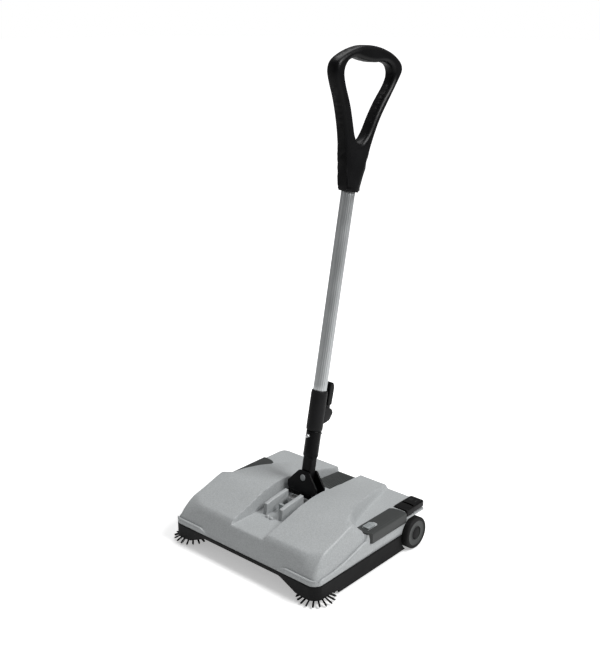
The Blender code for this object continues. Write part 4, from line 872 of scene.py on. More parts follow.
    def build(self) -> None:
        """Builds the shell, its ribs and the ledge."""
        self.shell()
        self.ribs()
        self.switch_ledge()


@dataclass
class Chassis:
    """The black lower part: a skirt round the CAD chassis, and everything that is seen from below."""

    plan: BodyPlan
    palette: Palette
    well_front: float = 0.2385      # front end of the wheel wells
    well_low: float = 0.0300
    proud: float = 0.00025
    thick: float = 0.0016

    def low_edge(self, x: Array, y: Array) -> Array:
        """Lower edge of the skirt: high between the brush housings, and nearly on the floor at the sides.

        Args:
            x: From the middle plane.
            y: From the body's front.

        Returns:
            Heights.
        """
        front = np.interp(np.abs(x), (0.0905, 0.0925, 0.098, 0.128, 0.143),
                          (0.0302, 0.0298, 0.0285, 0.0130, 0.0110))
        side = np.interp(y, (0.0, 0.049, 0.0515, 0.0735, 0.080, 0.085),
                         (0.0110, 0.0110, 0.0090, 0.0085, 0.0042, 0.0037))
        at_side = np.abs(x) > self.plan.half - 0.004
        low = np.where(at_side, side, np.where(y < 0.01, front, 0.0122))
        return np.where(at_side & (y > self.well_front), self.well_low, low)

    def skirt(self) -> bpy.types.Object:
        """The skirt: the body's outline carried from the lower edge up to the rim."""
        plan, patches = self.plan, []
        x, y = plan.rim_walk(-self.proud)
        keep = ~((np.abs(x) > plan.well_x - 0.001) & (y > self.well_front))
        start = int(np.flatnonzero(~keep)[0])
        x, y, keep = (np.roll(values, -start) for values in (x, y, keep))
        share = np.array([0.0, 0.04, 0.15, 0.35, 0.6, 0.85, 1.0])[:, None]
        for run in np.split(np.arange(len(x)), np.flatnonzero(np.diff(keep.astype(int))) + 1):
            if not keep[run[0]]:
                continue
            low = self.low_edge(x[run], y[run])
            z = low + (plan.rim - 0.0002 - low) * share
            patches.append(Patch(plan.place(np.broadcast_to(x[run], z.shape),
                                            np.broadcast_to(y[run], z.shape), z)))
        return dress(mesh_from("chassis_skirt", patches), self.palette.chassis, "body",
                     wall=self.thick)

    def build(self) -> None:
        """Builds the skirt and finishes the CAD pieces that are kept."""
        self.skirt()
        redress(self.palette.chassis, "base_chassis", "front_roller_left", "front_roller_right",
                "switch_body",
                "charge_socket")
        redress(self.palette.wrap, "battery_pack")
        redress(self.palette.steel, "drive_motor", "pedal_spring", "roller_bearing_left",
                "roller_bearing_right",
                "wheel_axle_left", "wheel_axle_right", "cover_screw_1", "cover_screw_2", "cover_screw_3",
                "cover_screw_4", "yoke_pin", "lever_pin")
        redress(self.palette.rubber, "drive_belt", "side_belt_left", "side_belt_right", "dust_lip")
        redress(self.palette.button, "motor_pulley", "brush_pulley", "side_pulley_left",
                "side_pulley_right",
                "latch_seat")
        redress(self.palette.bin, "dust_bin")


@dataclass
class SideInserts:
    """Dark covers over both shoulders, each with a sliding light grey latch button."""

    plan: BodyPlan
    palette: Palette
    inner: float = 0.1428
    outer: float = 0.1766
    top: float = 0.0797
    low: float = 0.0597
    stand: float = 0.0007
    edge: float = 0.0012
    side_round: float = 0.0035      # rounding of the outer long edge
    button_x: float = 0.1565
    button_y: float = 0.163
    button_half: float = 0.0072
    button_rear: float = 0.0118
    recess: float = 0.0030
    side_plate: float = 0.1722      # outside this the insert hangs down over the cover's side
    lip: float = 0.0024

    def rear_edge(self, x: Array) -> Array:
        """Rear end of the insert, in front of the foot switch's line."""
        return np.interp(x, (self.inner, 0.150, 0.160, self.outer), (0.2386, 0.2440, 0.2462, 0.2466))

    def surface(self, x: Array, y: Array) -> Array:
        """Height of the insert: just over the cover, never under its flat top, recessed round the button.

        Args:
            x: From the middle plane, right side.
            y: From the body's front.

        Returns:
            Heights.
        """
        height = soft_max(self.plan.height(x, y, notch=False) + self.stand, np.full_like(x, self.top),
                          0.001)
        across = np.abs(x - self.button_x) - self.button_half - 0.0008
        behind = y - (self.button_y + self.button_rear + 0.0052 - 1.2 * np.maximum(across + 0.004, 0.0))
        ahead = self.button_y - 0.0128 - y
        inside = np.maximum(np.maximum(across, behind), ahead)
        height = height - self.recess * (1 - ease(inside / 0.0007 + 0.5))
        span = np.minimum(y - self.plan.insert_front(x), self.rear_edge(x) - y)
        out = np.minimum(np.minimum(x - self.inner, span), 4 * self.edge)
        height = height - (self.edge
                           - np.sqrt(np.maximum(self.edge**2 - np.maximum(self.edge - out, 0) ** 2, 0)))
        side = np.maximum(self.side_round - (self.outer - x), 0.0)
        return height - (self.side_round - np.sqrt(np.maximum(self.side_round**2 - side**2, 0.0)))

    def shell(self, side: Side) -> bpy.types.Object:
        """One insert: a height over each point of its plan, and a wall down round its edge.

        Args:
            side: Which shoulder it lies on.

        Returns:
            The object.
        """
        x = np.concatenate([np.linspace(self.inner, self.inner + 0.0015, 5)[:-1],
                            np.linspace(self.inner + 0.0015, self.outer - 0.0036, 50)[:-1],
                            self.outer - 0.0036 * (1 - np.sin(np.linspace(0, math.pi / 2, 8)))])
        share = np.concatenate([np.linspace(0, 0.014, 5)[:-1], np.linspace(0.014, 0.45, 80)[:-1],
                                np.linspace(0.45, 0.986, 22)[:-1], np.linspace(0.986, 1, 5)])[:, None]
        y = self.plan.insert_front(x) + (self.rear_edge(x) - self.plan.insert_front(x)) * share
        x = np.broadcast_to(x, y.shape)
        z = self.surface(x, y)
        ring = [rim_of(values) for values in (x, y, z)]
        lip = np.where(ring[0] < self.side_plate, ring[2] - self.lip, self.low)
        walls = ring[2] + (lip - ring[2]) * np.linspace(0, 1, 5)[:, None]
        flat = [np.broadcast_to(values, walls.shape) for values in ring[:2]]
        sheets = [(x, y, z), (*flat, walls)]
        grids = [np.stack([side.value * a, self.plan.row_y(b), c], axis=-1) for a, b, c in sheets]
        mesh = mesh_from(f"insert_{side.word}", [Patch(grids[0]), Patch(grids[1], wrap_v=True)])
        return dress(mesh, self.palette.insert, "body",
                     stands_for=(f"side_insert_{side.word}",),
                     wall=0.0012)

    def button(self, side: Side) -> bpy.types.Object:
        """The latch button: a D-shaped plate with a domed rear end and three ribs across it.

        Args:
            side: Which insert it slides in.

        Returns:
            The object.
        """
        half, turn = self.button_half, np.linspace(0.0, math.pi, 17)
        outline = np.concatenate([[(-half, -0.0115), (half, -0.0115)],
                                  np.column_stack([half * np.cos(turn), self.button_rear - half + half
                                                   * np.sin(turn)])])
        outline = soften(outline, 0.0012, steps=4)
        axes = FLOOR.moved(side.value * self.button_x, float(self.plan.row_y(self.button_y)))
        patches = [slab(outline, 0.0801, 0.0822, axes, edge=0.0009)]
        for k in range(3):
            y = -0.0068 + 0.0042 * k
            ends = np.linspace(-1.0, 1.0, 15)
            path = axes.at(np.column_stack([0.0054 * ends, np.full(15, y), np.full(15, 0.0821)]))
            patches.append(swept(path, 0.0009 * np.sqrt(np.maximum(1 - ends**6, 0.02)), sides=10))
        mesh = mesh_from(f"button_{side.word}", patches)
        return dress(mesh, self.palette.button, f"latch_button_{side.word}",
                     stands_for=(f"latch_button_{side.word}",))

    def build(self) -> None:
        """Builds both inserts and both buttons."""
        for side in Side:
            self.shell(side)
            self.button(side)


@dataclass
class FootSwitch:
    """Black foot switch on the right rear corner: a fixed block and a pedal behind a curved split."""

    plan: BodyPlan
    palette: Palette
    inner: float = 0.1457
    outer: float = 0.1760
    front: float = 0.2484
    split: float = 0.2692
    rear: float = 0.3026
    low: float = 0.0682
    pedal_low: float = 0.0702       # leaves room for the pedal's rear to sink when it is pressed
    top: float = 0.0822
    bow: float = 0.0022

    def split_line(self, share: Array, gap: float) -> Array:
        """The curved split between the block and the pedal: a shallow parabola that bows to the rear."""
        x = self.inner + (self.outer - self.inner) * share
        return np.column_stack([x, self.split + gap + self.bow * (1 - (2 * share - 1) ** 2)])

    def build(self) -> None:
        """Builds the block, the pedal and the pedal's raised marks."""
        plan, share = self.plan, np.linspace(0.0, 1.0, 13)
        block = np.concatenate([self.split_line(share[::-1], 0.0), soften(
            np.array([(self.inner, self.split), (self.inner, self.front), (self.outer, self.front),
                      (self.outer, self.split)]), 0.0035, closed=False)[1:-1]])
        pedal = np.concatenate([self.split_line(share, 0.0005), soften(
            np.array([(self.outer, self.split), (self.outer, self.rear), (self.inner, self.rear),
                      (self.inner, self.split)]), 0.0050, closed=False)[1:-1]])
        for name, outline, low, body, node in (("switch_block_shell", block, self.low, "body",
                                                "switch_block"),
                                               ("pedal_shell", pedal, self.pedal_low, "pedal",
                                                "foot_pedal")):
            outline = np.column_stack([outline[:, 0], plan.row_y(outline[:, 1])])
            mesh = mesh_from(name, [slab(outline, low, self.top, FLOOR, edge=0.0021, rings=6)])
            dress(mesh, self.palette.switch, body, stands_for=(node,))
        middle = ((self.inner + self.outer) / 2, float(plan.row_y((self.split + self.rear) / 2 + 0.002)))
        turn = np.linspace(0, 2 * math.pi, 40, endpoint=False)
        ring = np.column_stack([middle[0] - 0.0055 + 0.0032 * np.cos(turn), middle[1] + 0.0032
                                * np.sin(turn),
                                np.full(40, self.top)])
        bar = np.column_stack([np.full(9, middle[0] + 0.0065), middle[1] + np.linspace(-0.0036, 0.0036, 9),
                               np.full(9, self.top)])
        marks = mesh_from("pedal_marks", [swept(ring, 0.00045, 8, closed=True), swept(bar, 0.0005, 8)])
        dress(marks, self.palette.insert, "pedal")


@dataclass
class BatteryCover:
    """Ribbed dark grey cover over the battery, at the rear of the trough."""

    plan: BodyPlan
    palette: Palette
    front: float = 0.2282
    rear: float = 0.2993
    front_half: float = 0.0333
    rear_half: float = 0.0253
    low: float = 0.0748
    top: float = 0.0770
    ribs: int = 13

    def build(self) -> None:
        """Builds the plate with its rounded ribs, which fan out with the plate's sides."""
        plan = self.plan
        outline = np.array([(-self.front_half, self.front), (self.front_half, self.front),
                            (self.rear_half, self.rear),
                            (-self.rear_half, self.rear)])
        outline[:, 1] = plan.row_y(outline[:, 1])
        patches = [slab(soften(outline, 0.003), self.low, self.top, FLOOR, edge=0.0006)]
        along = np.linspace(0.0, 1.0, 17)
        swell = 0.0011 * np.sqrt(np.maximum(1 - (2 * along - 1) ** 16, 0.04))
        for k in range(self.ribs):
            share = (k + 1) / (self.ribs + 1) * 2 - 1
            half = self.front_half + (self.rear_half - self.front_half) * along
            y = plan.row_y(self.front + 0.005 + (self.rear - self.front - 0.009) * along)
            path = np.column_stack([half * share, y, np.full(17, self.top)])
            patches.append(swept(path, swell, 10))
        mesh = mesh_from("battery_lid", patches)
        dress(mesh, self.palette.insert, "battery_cover", stands_for=("battery_cover",))


@dataclass
class Wheels:
    """Rear wheels: a soft tyre with a crowned tread, a dished rim with a ring, and a hub cap."""

    palette: Palette
    y: float = field(default_factory=lambda: joint_of("wheel_left_spin")["pos_m"][1])
    z: float = 0.030
    outer: float = 0.1838
    width: float = 0.0218
    radius: float = 0.0298
    rim: float = 0.0236

    def build(self) -> None:
        """Builds both wheels from turned profiles."""
        edge = 0.004
        turn = np.linspace(0, math.pi / 2, 7)
        right = np.column_stack([self.radius - edge + edge * np.cos(turn), -edge + edge * np.sin(turn)])
        left = np.column_stack([right[::-1, 0], -self.width - right[::-1, 1]])
        tyre = np.concatenate([[(self.rim, -0.0005)], right[::-1], left[::-1],
                               [(self.rim, -self.width + 0.0005)]])
        rim = np.array([(self.rim + 0.0004, -0.0200), (self.rim + 0.0004, -0.0012),
                        (self.rim - 0.0004, -0.0006),
                        (self.rim - 0.0012, -0.0014), (0.0150, -0.0019), (0.0138, -0.0012),
                        (0.0128, -0.0012),
                        (0.0122, -0.0046), (0.0048, -0.0050), (0.0048, -0.0200)])
        cap = np.array([(0.0, -0.0014), (0.0050, -0.0015), (0.0095, -0.0019), (0.0112, -0.0026),
                        (0.0118, -0.0040),
                        (0.0118, -0.0044), (0.0, -0.0044)])
        for side in Side:
            axes = Axes((side.value * self.outer, self.y, self.z), (0, 1, 0), (0, 0, 1), (side.value, 0, 0))
            body = f"wheel_{side.word}"
            dress(mesh_from(f"tyre_{side.word}", [turned(tyre, axes, 96, closed=True)]),
                  self.palette.rubber, body,
                  stands_for=(f"wheel_tyre_{side.word}",))
            dress(mesh_from(f"rim_{side.word}", [turned(soften(rim, 0.0005, 3), axes, 96, closed=True)]),
                  self.palette.insert, body, stands_for=(f"wheel_rim_{side.word}",))
            dress(mesh_from(f"cap_{side.word}", [turned(cap, axes, 48)]), self.palette.chassis, body,
                  stands_for=(f"hub_cap_{side.word}",))


@dataclass
class Bristles:
    """Bundles of thin filaments set in a hub or a core."""

    palette: Palette
    filament: float = 0.00052
    seed: int = 11
    root_z: float = 0.0145          # side brush: where its tufts start and end
    tip_z: float = 0.0052
    root_reach: float = 0.0085
    tip_reach: float = 0.0338
    core_radius: float = 0.0142     # main brush: radius at the roots and at the tips, and half its length
    brush_radius: float = 0.0282
    brush_half: float = 0.1025

    def bundle(self, root: Array, tip: Array, spread: float, sag: Array, count: int,
               rng: np.random.Generator) -> list[Patch]:
        """One tuft: filaments from a small round root that splay towards the tip.

        Each filament is root + (tip - root) t + sag t^2 plus its own offset, which grows from half the spread
        at the root to the whole at the tip.

        Args:
            root: Middle of the tuft's root.
            tip: Middle of the tuft's tip.
            spread: Radius of the tuft at its tip.
            sag: Bend added at the tip.
            count: Filaments in the tuft.
            rng: Source of the filaments' offsets.

        Returns:
            One patch for each filament.
        """
        t = np.linspace(0.0, 1.0, 5)[:, None]
        patches = []
        for _ in range(count):
            offset = rng.normal(0.0, 0.5, 3) * spread
            length = 1.0 - 0.06 * rng.random()
            path = root + (tip - root) * t * length + sag * t**2 + offset * (0.5 + 0.5 * t)
            path[:, 2] = np.maximum(path[:, 2], 0.0014)
            patches.append(swept(path, self.filament * np.linspace(1.0, 0.55, 5), 4))
        return patches

    def side_brush(self, side: Side, tufts: int = 18) -> bpy.types.Object:
        """A side brush: tufts that reach out and down from the hub, curling a little against the turn.

        Args:
            side: Which brush.
            tufts: Tufts round the hub.

        Returns:
            The object.
        """
        rng = np.random.default_rng(self.seed + side.value)
        pos = joint_of(f"side_brush_{side.word}_spin")["pos_m"]
        patches = []
        for angle in np.linspace(0, 2 * math.pi, tufts, endpoint=False):
            out = np.array([math.cos(angle), math.sin(angle), 0.0])
            round_way = side.value * np.array([-out[1], out[0], 0.0])
            root = np.array([pos[0], pos[1], self.root_z]) + self.root_reach * out
            tip = np.array([pos[0], pos[1], self.tip_z]) + self.tip_reach * out
            patches += self.bundle(root, tip, 0.0015, 0.0008 * round_way - np.array([0, 0, 0.0012]), 44,
                                   rng)
        mesh = mesh_from(f"side_bristles_{side.word}", patches)
        dress(mesh, self.palette.bristle, f"side_brush_{side.word}",
              stands_for=(f"side_brush_{side.word}",))
        hub = np.array([(0.0, 0.0110), (0.0095, 0.0112), (0.0112, 0.0128), (0.0112, 0.0205),
                        (0.0098, 0.0232),
                        (0.0040, 0.0238), (0.0040, 0.0300), (0.0, 0.0300)])
        mesh = mesh_from(f"side_hub_{side.word}", [turned(hub, FLOOR.moved(pos[0], pos[1]), 40)])
        return dress(mesh, self.palette.chassis, f"side_brush_{side.word}")

    def main_brush(self, rows: int = 5, tufts: int = 52) -> bpy.types.Object:
        """The main brush: tufts in wound rows on a round core.

        Each row winds 100 degrees round the core from one end to the other.

        Args:
            rows: Rows round the core.
            tufts: Tufts in each row.

        Returns:
            The object.
        """
        rng = np.random.default_rng(self.seed)
        low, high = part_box("main_brush")
        y, z = joint_of("roller_spin")["pos_m"][1:]
        patches = []
        for row in range(rows):
            for x in np.linspace(-self.brush_half, self.brush_half, tufts):
                angle = 2 * math.pi * row / rows + math.radians(100) * x / (2 * self.brush_half)
                out = np.array([0.0, math.cos(angle), math.sin(angle)])
                root = np.array([x, y, z]) + self.core_radius * out
                tip = np.array([x, y, z]) + self.brush_radius * out
                patches += self.bundle(root, tip, 0.0016, np.zeros(3), 7, rng)
        core = np.array([(0.0, -0.1060), (0.0140, -0.1060), (0.0150, -0.1050), (0.0150, 0.1050),
                         (0.0140, 0.1060),
                         (0.0, 0.1060)])
        shaft = np.array([(0.0, low.x + 0.0002), (0.0030, low.x + 0.0002), (0.0030, high.x - 0.0002),
                          (0.0, high.x - 0.0002)])
        axis = Axes((0, y, z), (0, 1, 0), (0, 0, 1), (1, 0, 0))
        dress(mesh_from("main_bristles", patches), self.palette.bristle, "roller",
              stands_for=("main_brush",))
        return dress(mesh_from("main_core", [turned(core, axis, 48), turned(shaft, axis, 24)]),
                     self.palette.chassis,
                     "roller")

    def build(self) -> None:
        """Builds all three brushes."""
        self.side_brush(Side.LEFT)
        self.side_brush(Side.RIGHT)
        self.main_brush()


@dataclass
class ParkLatch:
    """The metal latch slide in the trough with its coil spring and seat."""

    palette: Palette
    wire: float = 0.00055
    turns: int = 9

    def build(self) -> None:
        """Builds the slide as a bent steel plate and the spring as a helix in its CAD box."""
        low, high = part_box("park_latch")
        outline = box_outline((low.x, low.y), (high.x, high.y), 0.0022)
        mesh = mesh_from("latch_plate", [slab(outline, low.z, high.z, FLOOR, edge=0.0011)])
        dress(mesh, self.palette.steel, "park_latch", stands_for=("park_latch",))
        low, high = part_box("latch_spring")
        radius = (high.x - low.x) / 2 - self.wire
        turn = np.linspace(0.0, 2 * math.pi * self.turns, self.turns * 18)
        path = np.column_stack([(low.x + high.x) / 2 + radius * np.cos(turn),
                                np.linspace(low.y + self.wire, high.y - self.wire, len(turn)),
                                (low.z + high.z) / 2 + radius * np.sin(turn)])
        dress(mesh_from("latch_coil", [swept(path, self.wire, 8)]), self.palette.steel, "park_latch",
              stands_for=("latch_spring",))


# ---- the handle --------------------------------------------------------------------------------------------
LEAN = math.radians(11.8)
HANDLE = Axes(tuple(joint_of("handle_pitch")["pos_m"]), (1, 0, 0), (0, math.cos(LEAN), -math.sin(LEAN)),
              (0, math.sin(LEAN), math.cos(LEAN)))
FACE = Axes(HANDLE.origin, HANDLE.x, HANDLE.z, HANDLE.y)        # plates square to the handle's depth
PROFILE = Axes(HANDLE.origin, HANDLE.y, HANDLE.z, HANDLE.x)     # shapes drawn from the side


@dataclass
class Neck:
    """Two-axis neck: the yoke on the pitch pin, the rivet, and the fitting that holds the inner tube."""

    palette: Palette
    plate_in: float = 0.0090
    plate_out: float = 0.0135
    rivet_s: float = 0.0327
    bolt_s: float = 0.113
    tang_half: float = 0.0108       # half the width of the flat tang, and half its depth
    tang_deep: float = 0.0082
    socket: float = 0.0139          # radius of the round socket

    def yoke(self) -> None:
        """The yoke: a barrel on the pin, a block, two shaped cheek plates, and the rivet's heads."""
        half = np.array([(0.0290, 0.0040), (0.0345, 0.0080), (0.0350, 0.0190), (0.0118, 0.0453)])
        outline = np.concatenate([half, half[::-1] * (-1, 1)])
        outline = soften(outline, 0.0032, 6)
        patches = [slab(outline, side * (self.plate_in if side > 0 else self.plate_out),
                        side * (self.plate_out if side > 0 else self.plate_in), FACE, edge=0.0012)
                   for side in (-1, 1)]
        barrel = np.array([(0.0, -0.0348), (0.0076, -0.0348), (0.0084, -0.0340), (0.0084, 0.0340),
                           (0.0076, 0.0348),
                           (0.0, 0.0348)])
        patches.append(turned(barrel, PROFILE, 40))
        block = box_outline((-0.0198, -0.0030), (0.0198, 0.0118), 0.002)
        patches.append(slab(block, -0.0123, 0.0123, FACE, edge=0.001))
        dress(mesh_from("yoke_casting", patches), self.palette.handle, "yoke",
              stands_for=("yoke",))
        dome = np.array([(0.0, 0.0156), (0.0026, 0.0154), (0.0046, 0.0149), (0.0058, 0.0141),
                         (0.0061, 0.0136),
                         (0.0040, 0.0132), (0.0, 0.0132)])
        axes = [Axes(HANDLE.moved(c=self.rivet_s).origin, HANDLE.x, HANDLE.z,
                     tuple(sign * np.array(HANDLE.y)))
                for sign in (-1, 1)]
        heads = [turned(dome, axis, 40) for axis in axes]
        dress(mesh_from("rivet_heads", heads), self.palette.rivet, "yoke",
              stands_for=("neck_rivet",))

    def fitting(self) -> None:
        """The fitting: superellipse sections that go from a flat tang with a round end to a round socket.

        Section at height s: |x/a|^n + |y/b|^n = 1, with a, b and n blending from the tang's to the socket's.
        """
        turn = np.linspace(0.0, math.pi / 2, 9)
        s = np.concatenate([self.rivet_s - self.tang_half * np.cos(turn), np.linspace(0.036, 0.066, 8),
                            np.linspace(0.068, 0.082, 16), np.linspace(0.085, 0.1195, 14),
                            [0.1208, 0.1216, 0.1220, 0.1220]])
        grow = ease((s - 0.068) / 0.012)
        wide = np.sqrt(np.maximum(self.tang_half**2 - np.minimum(s - self.rivet_s, 0.0) ** 2, 1e-8))
        wide = wide + (self.socket - self.tang_half) * grow
        deep = self.tang_deep + (self.socket - self.tang_deep) * grow
        power = 7.0 - 5.0 * ease((s - 0.064) / 0.016)
        shrink = np.ones_like(s)
        shrink[-4:] = (1.0, 0.975, 0.93, 0.78)
        around = np.linspace(0.0, 2 * math.pi, 72, endpoint=False)
        cos, sin = np.cos(around), np.sin(around)
        power, wide, deep = power[:, None], (wide * shrink)[:, None], (deep * shrink)[:, None]
        grid = np.stack([wide * np.sign(cos) * np.abs(cos) ** (2 / power),
                         deep * np.sign(sin) * np.abs(sin) ** (2 / power),
                         np.broadcast_to(s[:, None], (len(s), 72))], axis=-1)
        mesh = mesh_from("neck_casting",
                         [Patch(HANDLE.at(grid), wrap_v=True, cap_start=True, cap_end=True)])
        dress(mesh, self.palette.handle, "neck", stands_for=("neck_fitting",))

    def bolt(self) -> None:
        """The bolt across the fitting, with a pan head at the front and a hexagon nut behind."""
        at = HANDLE.moved(c=self.bolt_s)
        axes = Axes(at.origin, HANDLE.x, HANDLE.z, HANDLE.y)
        shank = np.array([(0.0, 0.0240), (0.0014, 0.0240), (0.0018, 0.0234), (0.0018, -0.0142),
                          (0.0038, -0.0142),
                          (0.0038, -0.0180), (0.0032, -0.0193), (0.0018, -0.0198), (0.0, -0.0198)])
        dress(mesh_from("bolt", [turned(shank, axes, 32)]), self.palette.steel, "neck",
              stands_for=("cross_bolt",))
        turn = np.linspace(0, 2 * math.pi, 6, endpoint=False)
        hexagon = soften(np.column_stack([0.0035 * np.cos(turn), 0.0035 * np.sin(turn)]), 0.0003, 3)
        dress(mesh_from("nut", [slab(hexagon, 0.0144, 0.0181, axes, edge=0.0003, rings=3)]),
              self.palette.steel, "neck",
              stands_for=("cross_nut",))

    def build(self) -> None:
        """Builds the yoke, the fitting and the bolt."""
        self.yoke()
        self.fitting()
        self.bolt()


@dataclass
class Pole:
    """The telescopic pole: inner tube, fluted outer tube, and the clamp sleeve with its cam lever."""

    palette: Palette
    flutes: int = 18
    flute_depth: float = 0.0006
    radius: float = 0.0125
    low: float = 0.1530
    high: float = 0.5994
    sleeve_low: float = 0.1228
    sleeve_high: float = 0.1976
    cam: tuple[float, float] = (0.0247, 0.152)      # the lever's pivot, behind and along the pole
    cam_radius: float = 0.0070

    def tubes(self) -> None:
        """Both tubes. The outer radius is R - d (1 - |sin(n t / 2)|)^3, which draws n narrow grooves."""
        around = np.linspace(0.0, 2 * math.pi, self.flutes * 16, endpoint=False)
        radius = self.radius - self.flute_depth * (1 - np.abs(np.sin(self.flutes / 2 * around))) ** 3
        s = np.linspace(self.low, self.high, 9)[:, None]
        grid = np.stack([radius * np.cos(around) + 0 * s, radius * np.sin(around) + 0 * s, s + 0 * around],
                        axis=-1)
        mesh = mesh_from("outer_tube_drawn", [Patch(HANDLE.at(grid), wrap_v=True)])
        dress(mesh, self.palette.tube, "pole", stands_for=("outer_tube",), wall=0.0010)
        inner = np.array([(0.0, 0.083), (0.0105, 0.083), (0.0107, 0.0835), (0.0107, 0.504),
                          (0.0104, 0.5048),
                          (0.0090, 0.5048), (0.0090, 0.49), (0.0, 0.49)])
        dress(mesh_from("inner_tube_drawn", [turned(inner, HANDLE, 56)]), self.palette.tube, "neck",
              stands_for=("inner_tube",))

    def sleeve(self) -> None:
        """The sleeve: a turned wall with a rounded foot and a step at the top, and two ears for the lever."""
        low, high = self.sleeve_low, self.sleeve_high
        wall = np.array([(0.0129, low + 0.0306), (0.0129, high), (0.0140, high), (0.0146, high - 0.0008),
                         (0.0148, high - 0.0040), (0.0151, high - 0.0052), (0.0152, low + 0.0060),
                         (0.0150, low + 0.0015),
                         (0.0142, low + 0.0002), (0.0120, low), (0.0113, low), (0.0113, low + 0.0306)])
        patches = [turned(wall, HANDLE, 72, closed=True)]
        ear = soften(np.array([(0.0120, 0.1655), (0.0150, 0.1652), (0.0312, 0.1620), (0.0367, 0.1540),
                               (0.0292, 0.1400),
                               (0.0150, 0.1350), (0.0120, 0.1350)]), 0.0035, 5)
        for inner, outer in ((0.0057, 0.0094), (-0.0094, -0.0057)):
            patches.append(slab(ear, inner, outer, PROFILE, edge=0.0008))
        dress(mesh_from("clamp_sleeve_moulding", patches), self.palette.sleeve, "pole",
              stands_for=("clamp_sleeve",))

    def lever(self) -> None:
        """The cam lever: a cam between the ears and a broad finger tab that curves along the tube."""
        turn = np.radians(np.linspace(205, 360, 12))
        cam = self.cam_radius * np.column_stack([np.cos(turn), np.sin(turn)])
        tab = np.array([(0.0066, 0.0165), (0.0078, 0.040), (0.0078, 0.0520), (0.0042, 0.0590),
                        (-0.0040, 0.0606),
                        (-0.0060, 0.0520), (-0.0060, 0.0175)])
        narrow = np.concatenate([cam, tab[:1], [(-0.0060, 0.0168)]]) + self.cam
        broad = soften(tab, 0.003, 5) + self.cam
        patches = [slab(soften(narrow, 0.001, 3), -0.0048, 0.0048, PROFILE, edge=0.0008),
                   slab(broad, -0.0083, 0.0083, PROFILE, edge=0.0022, rings=6)]
        dress(mesh_from("cam_lever_moulding", patches), self.palette.handle, "clamp_lever",
              stands_for=("clamp_lever",))

    def build(self) -> None:
        """Builds the tubes, the sleeve and the lever."""
        self.tubes()
        self.sleeve()
        self.lever()


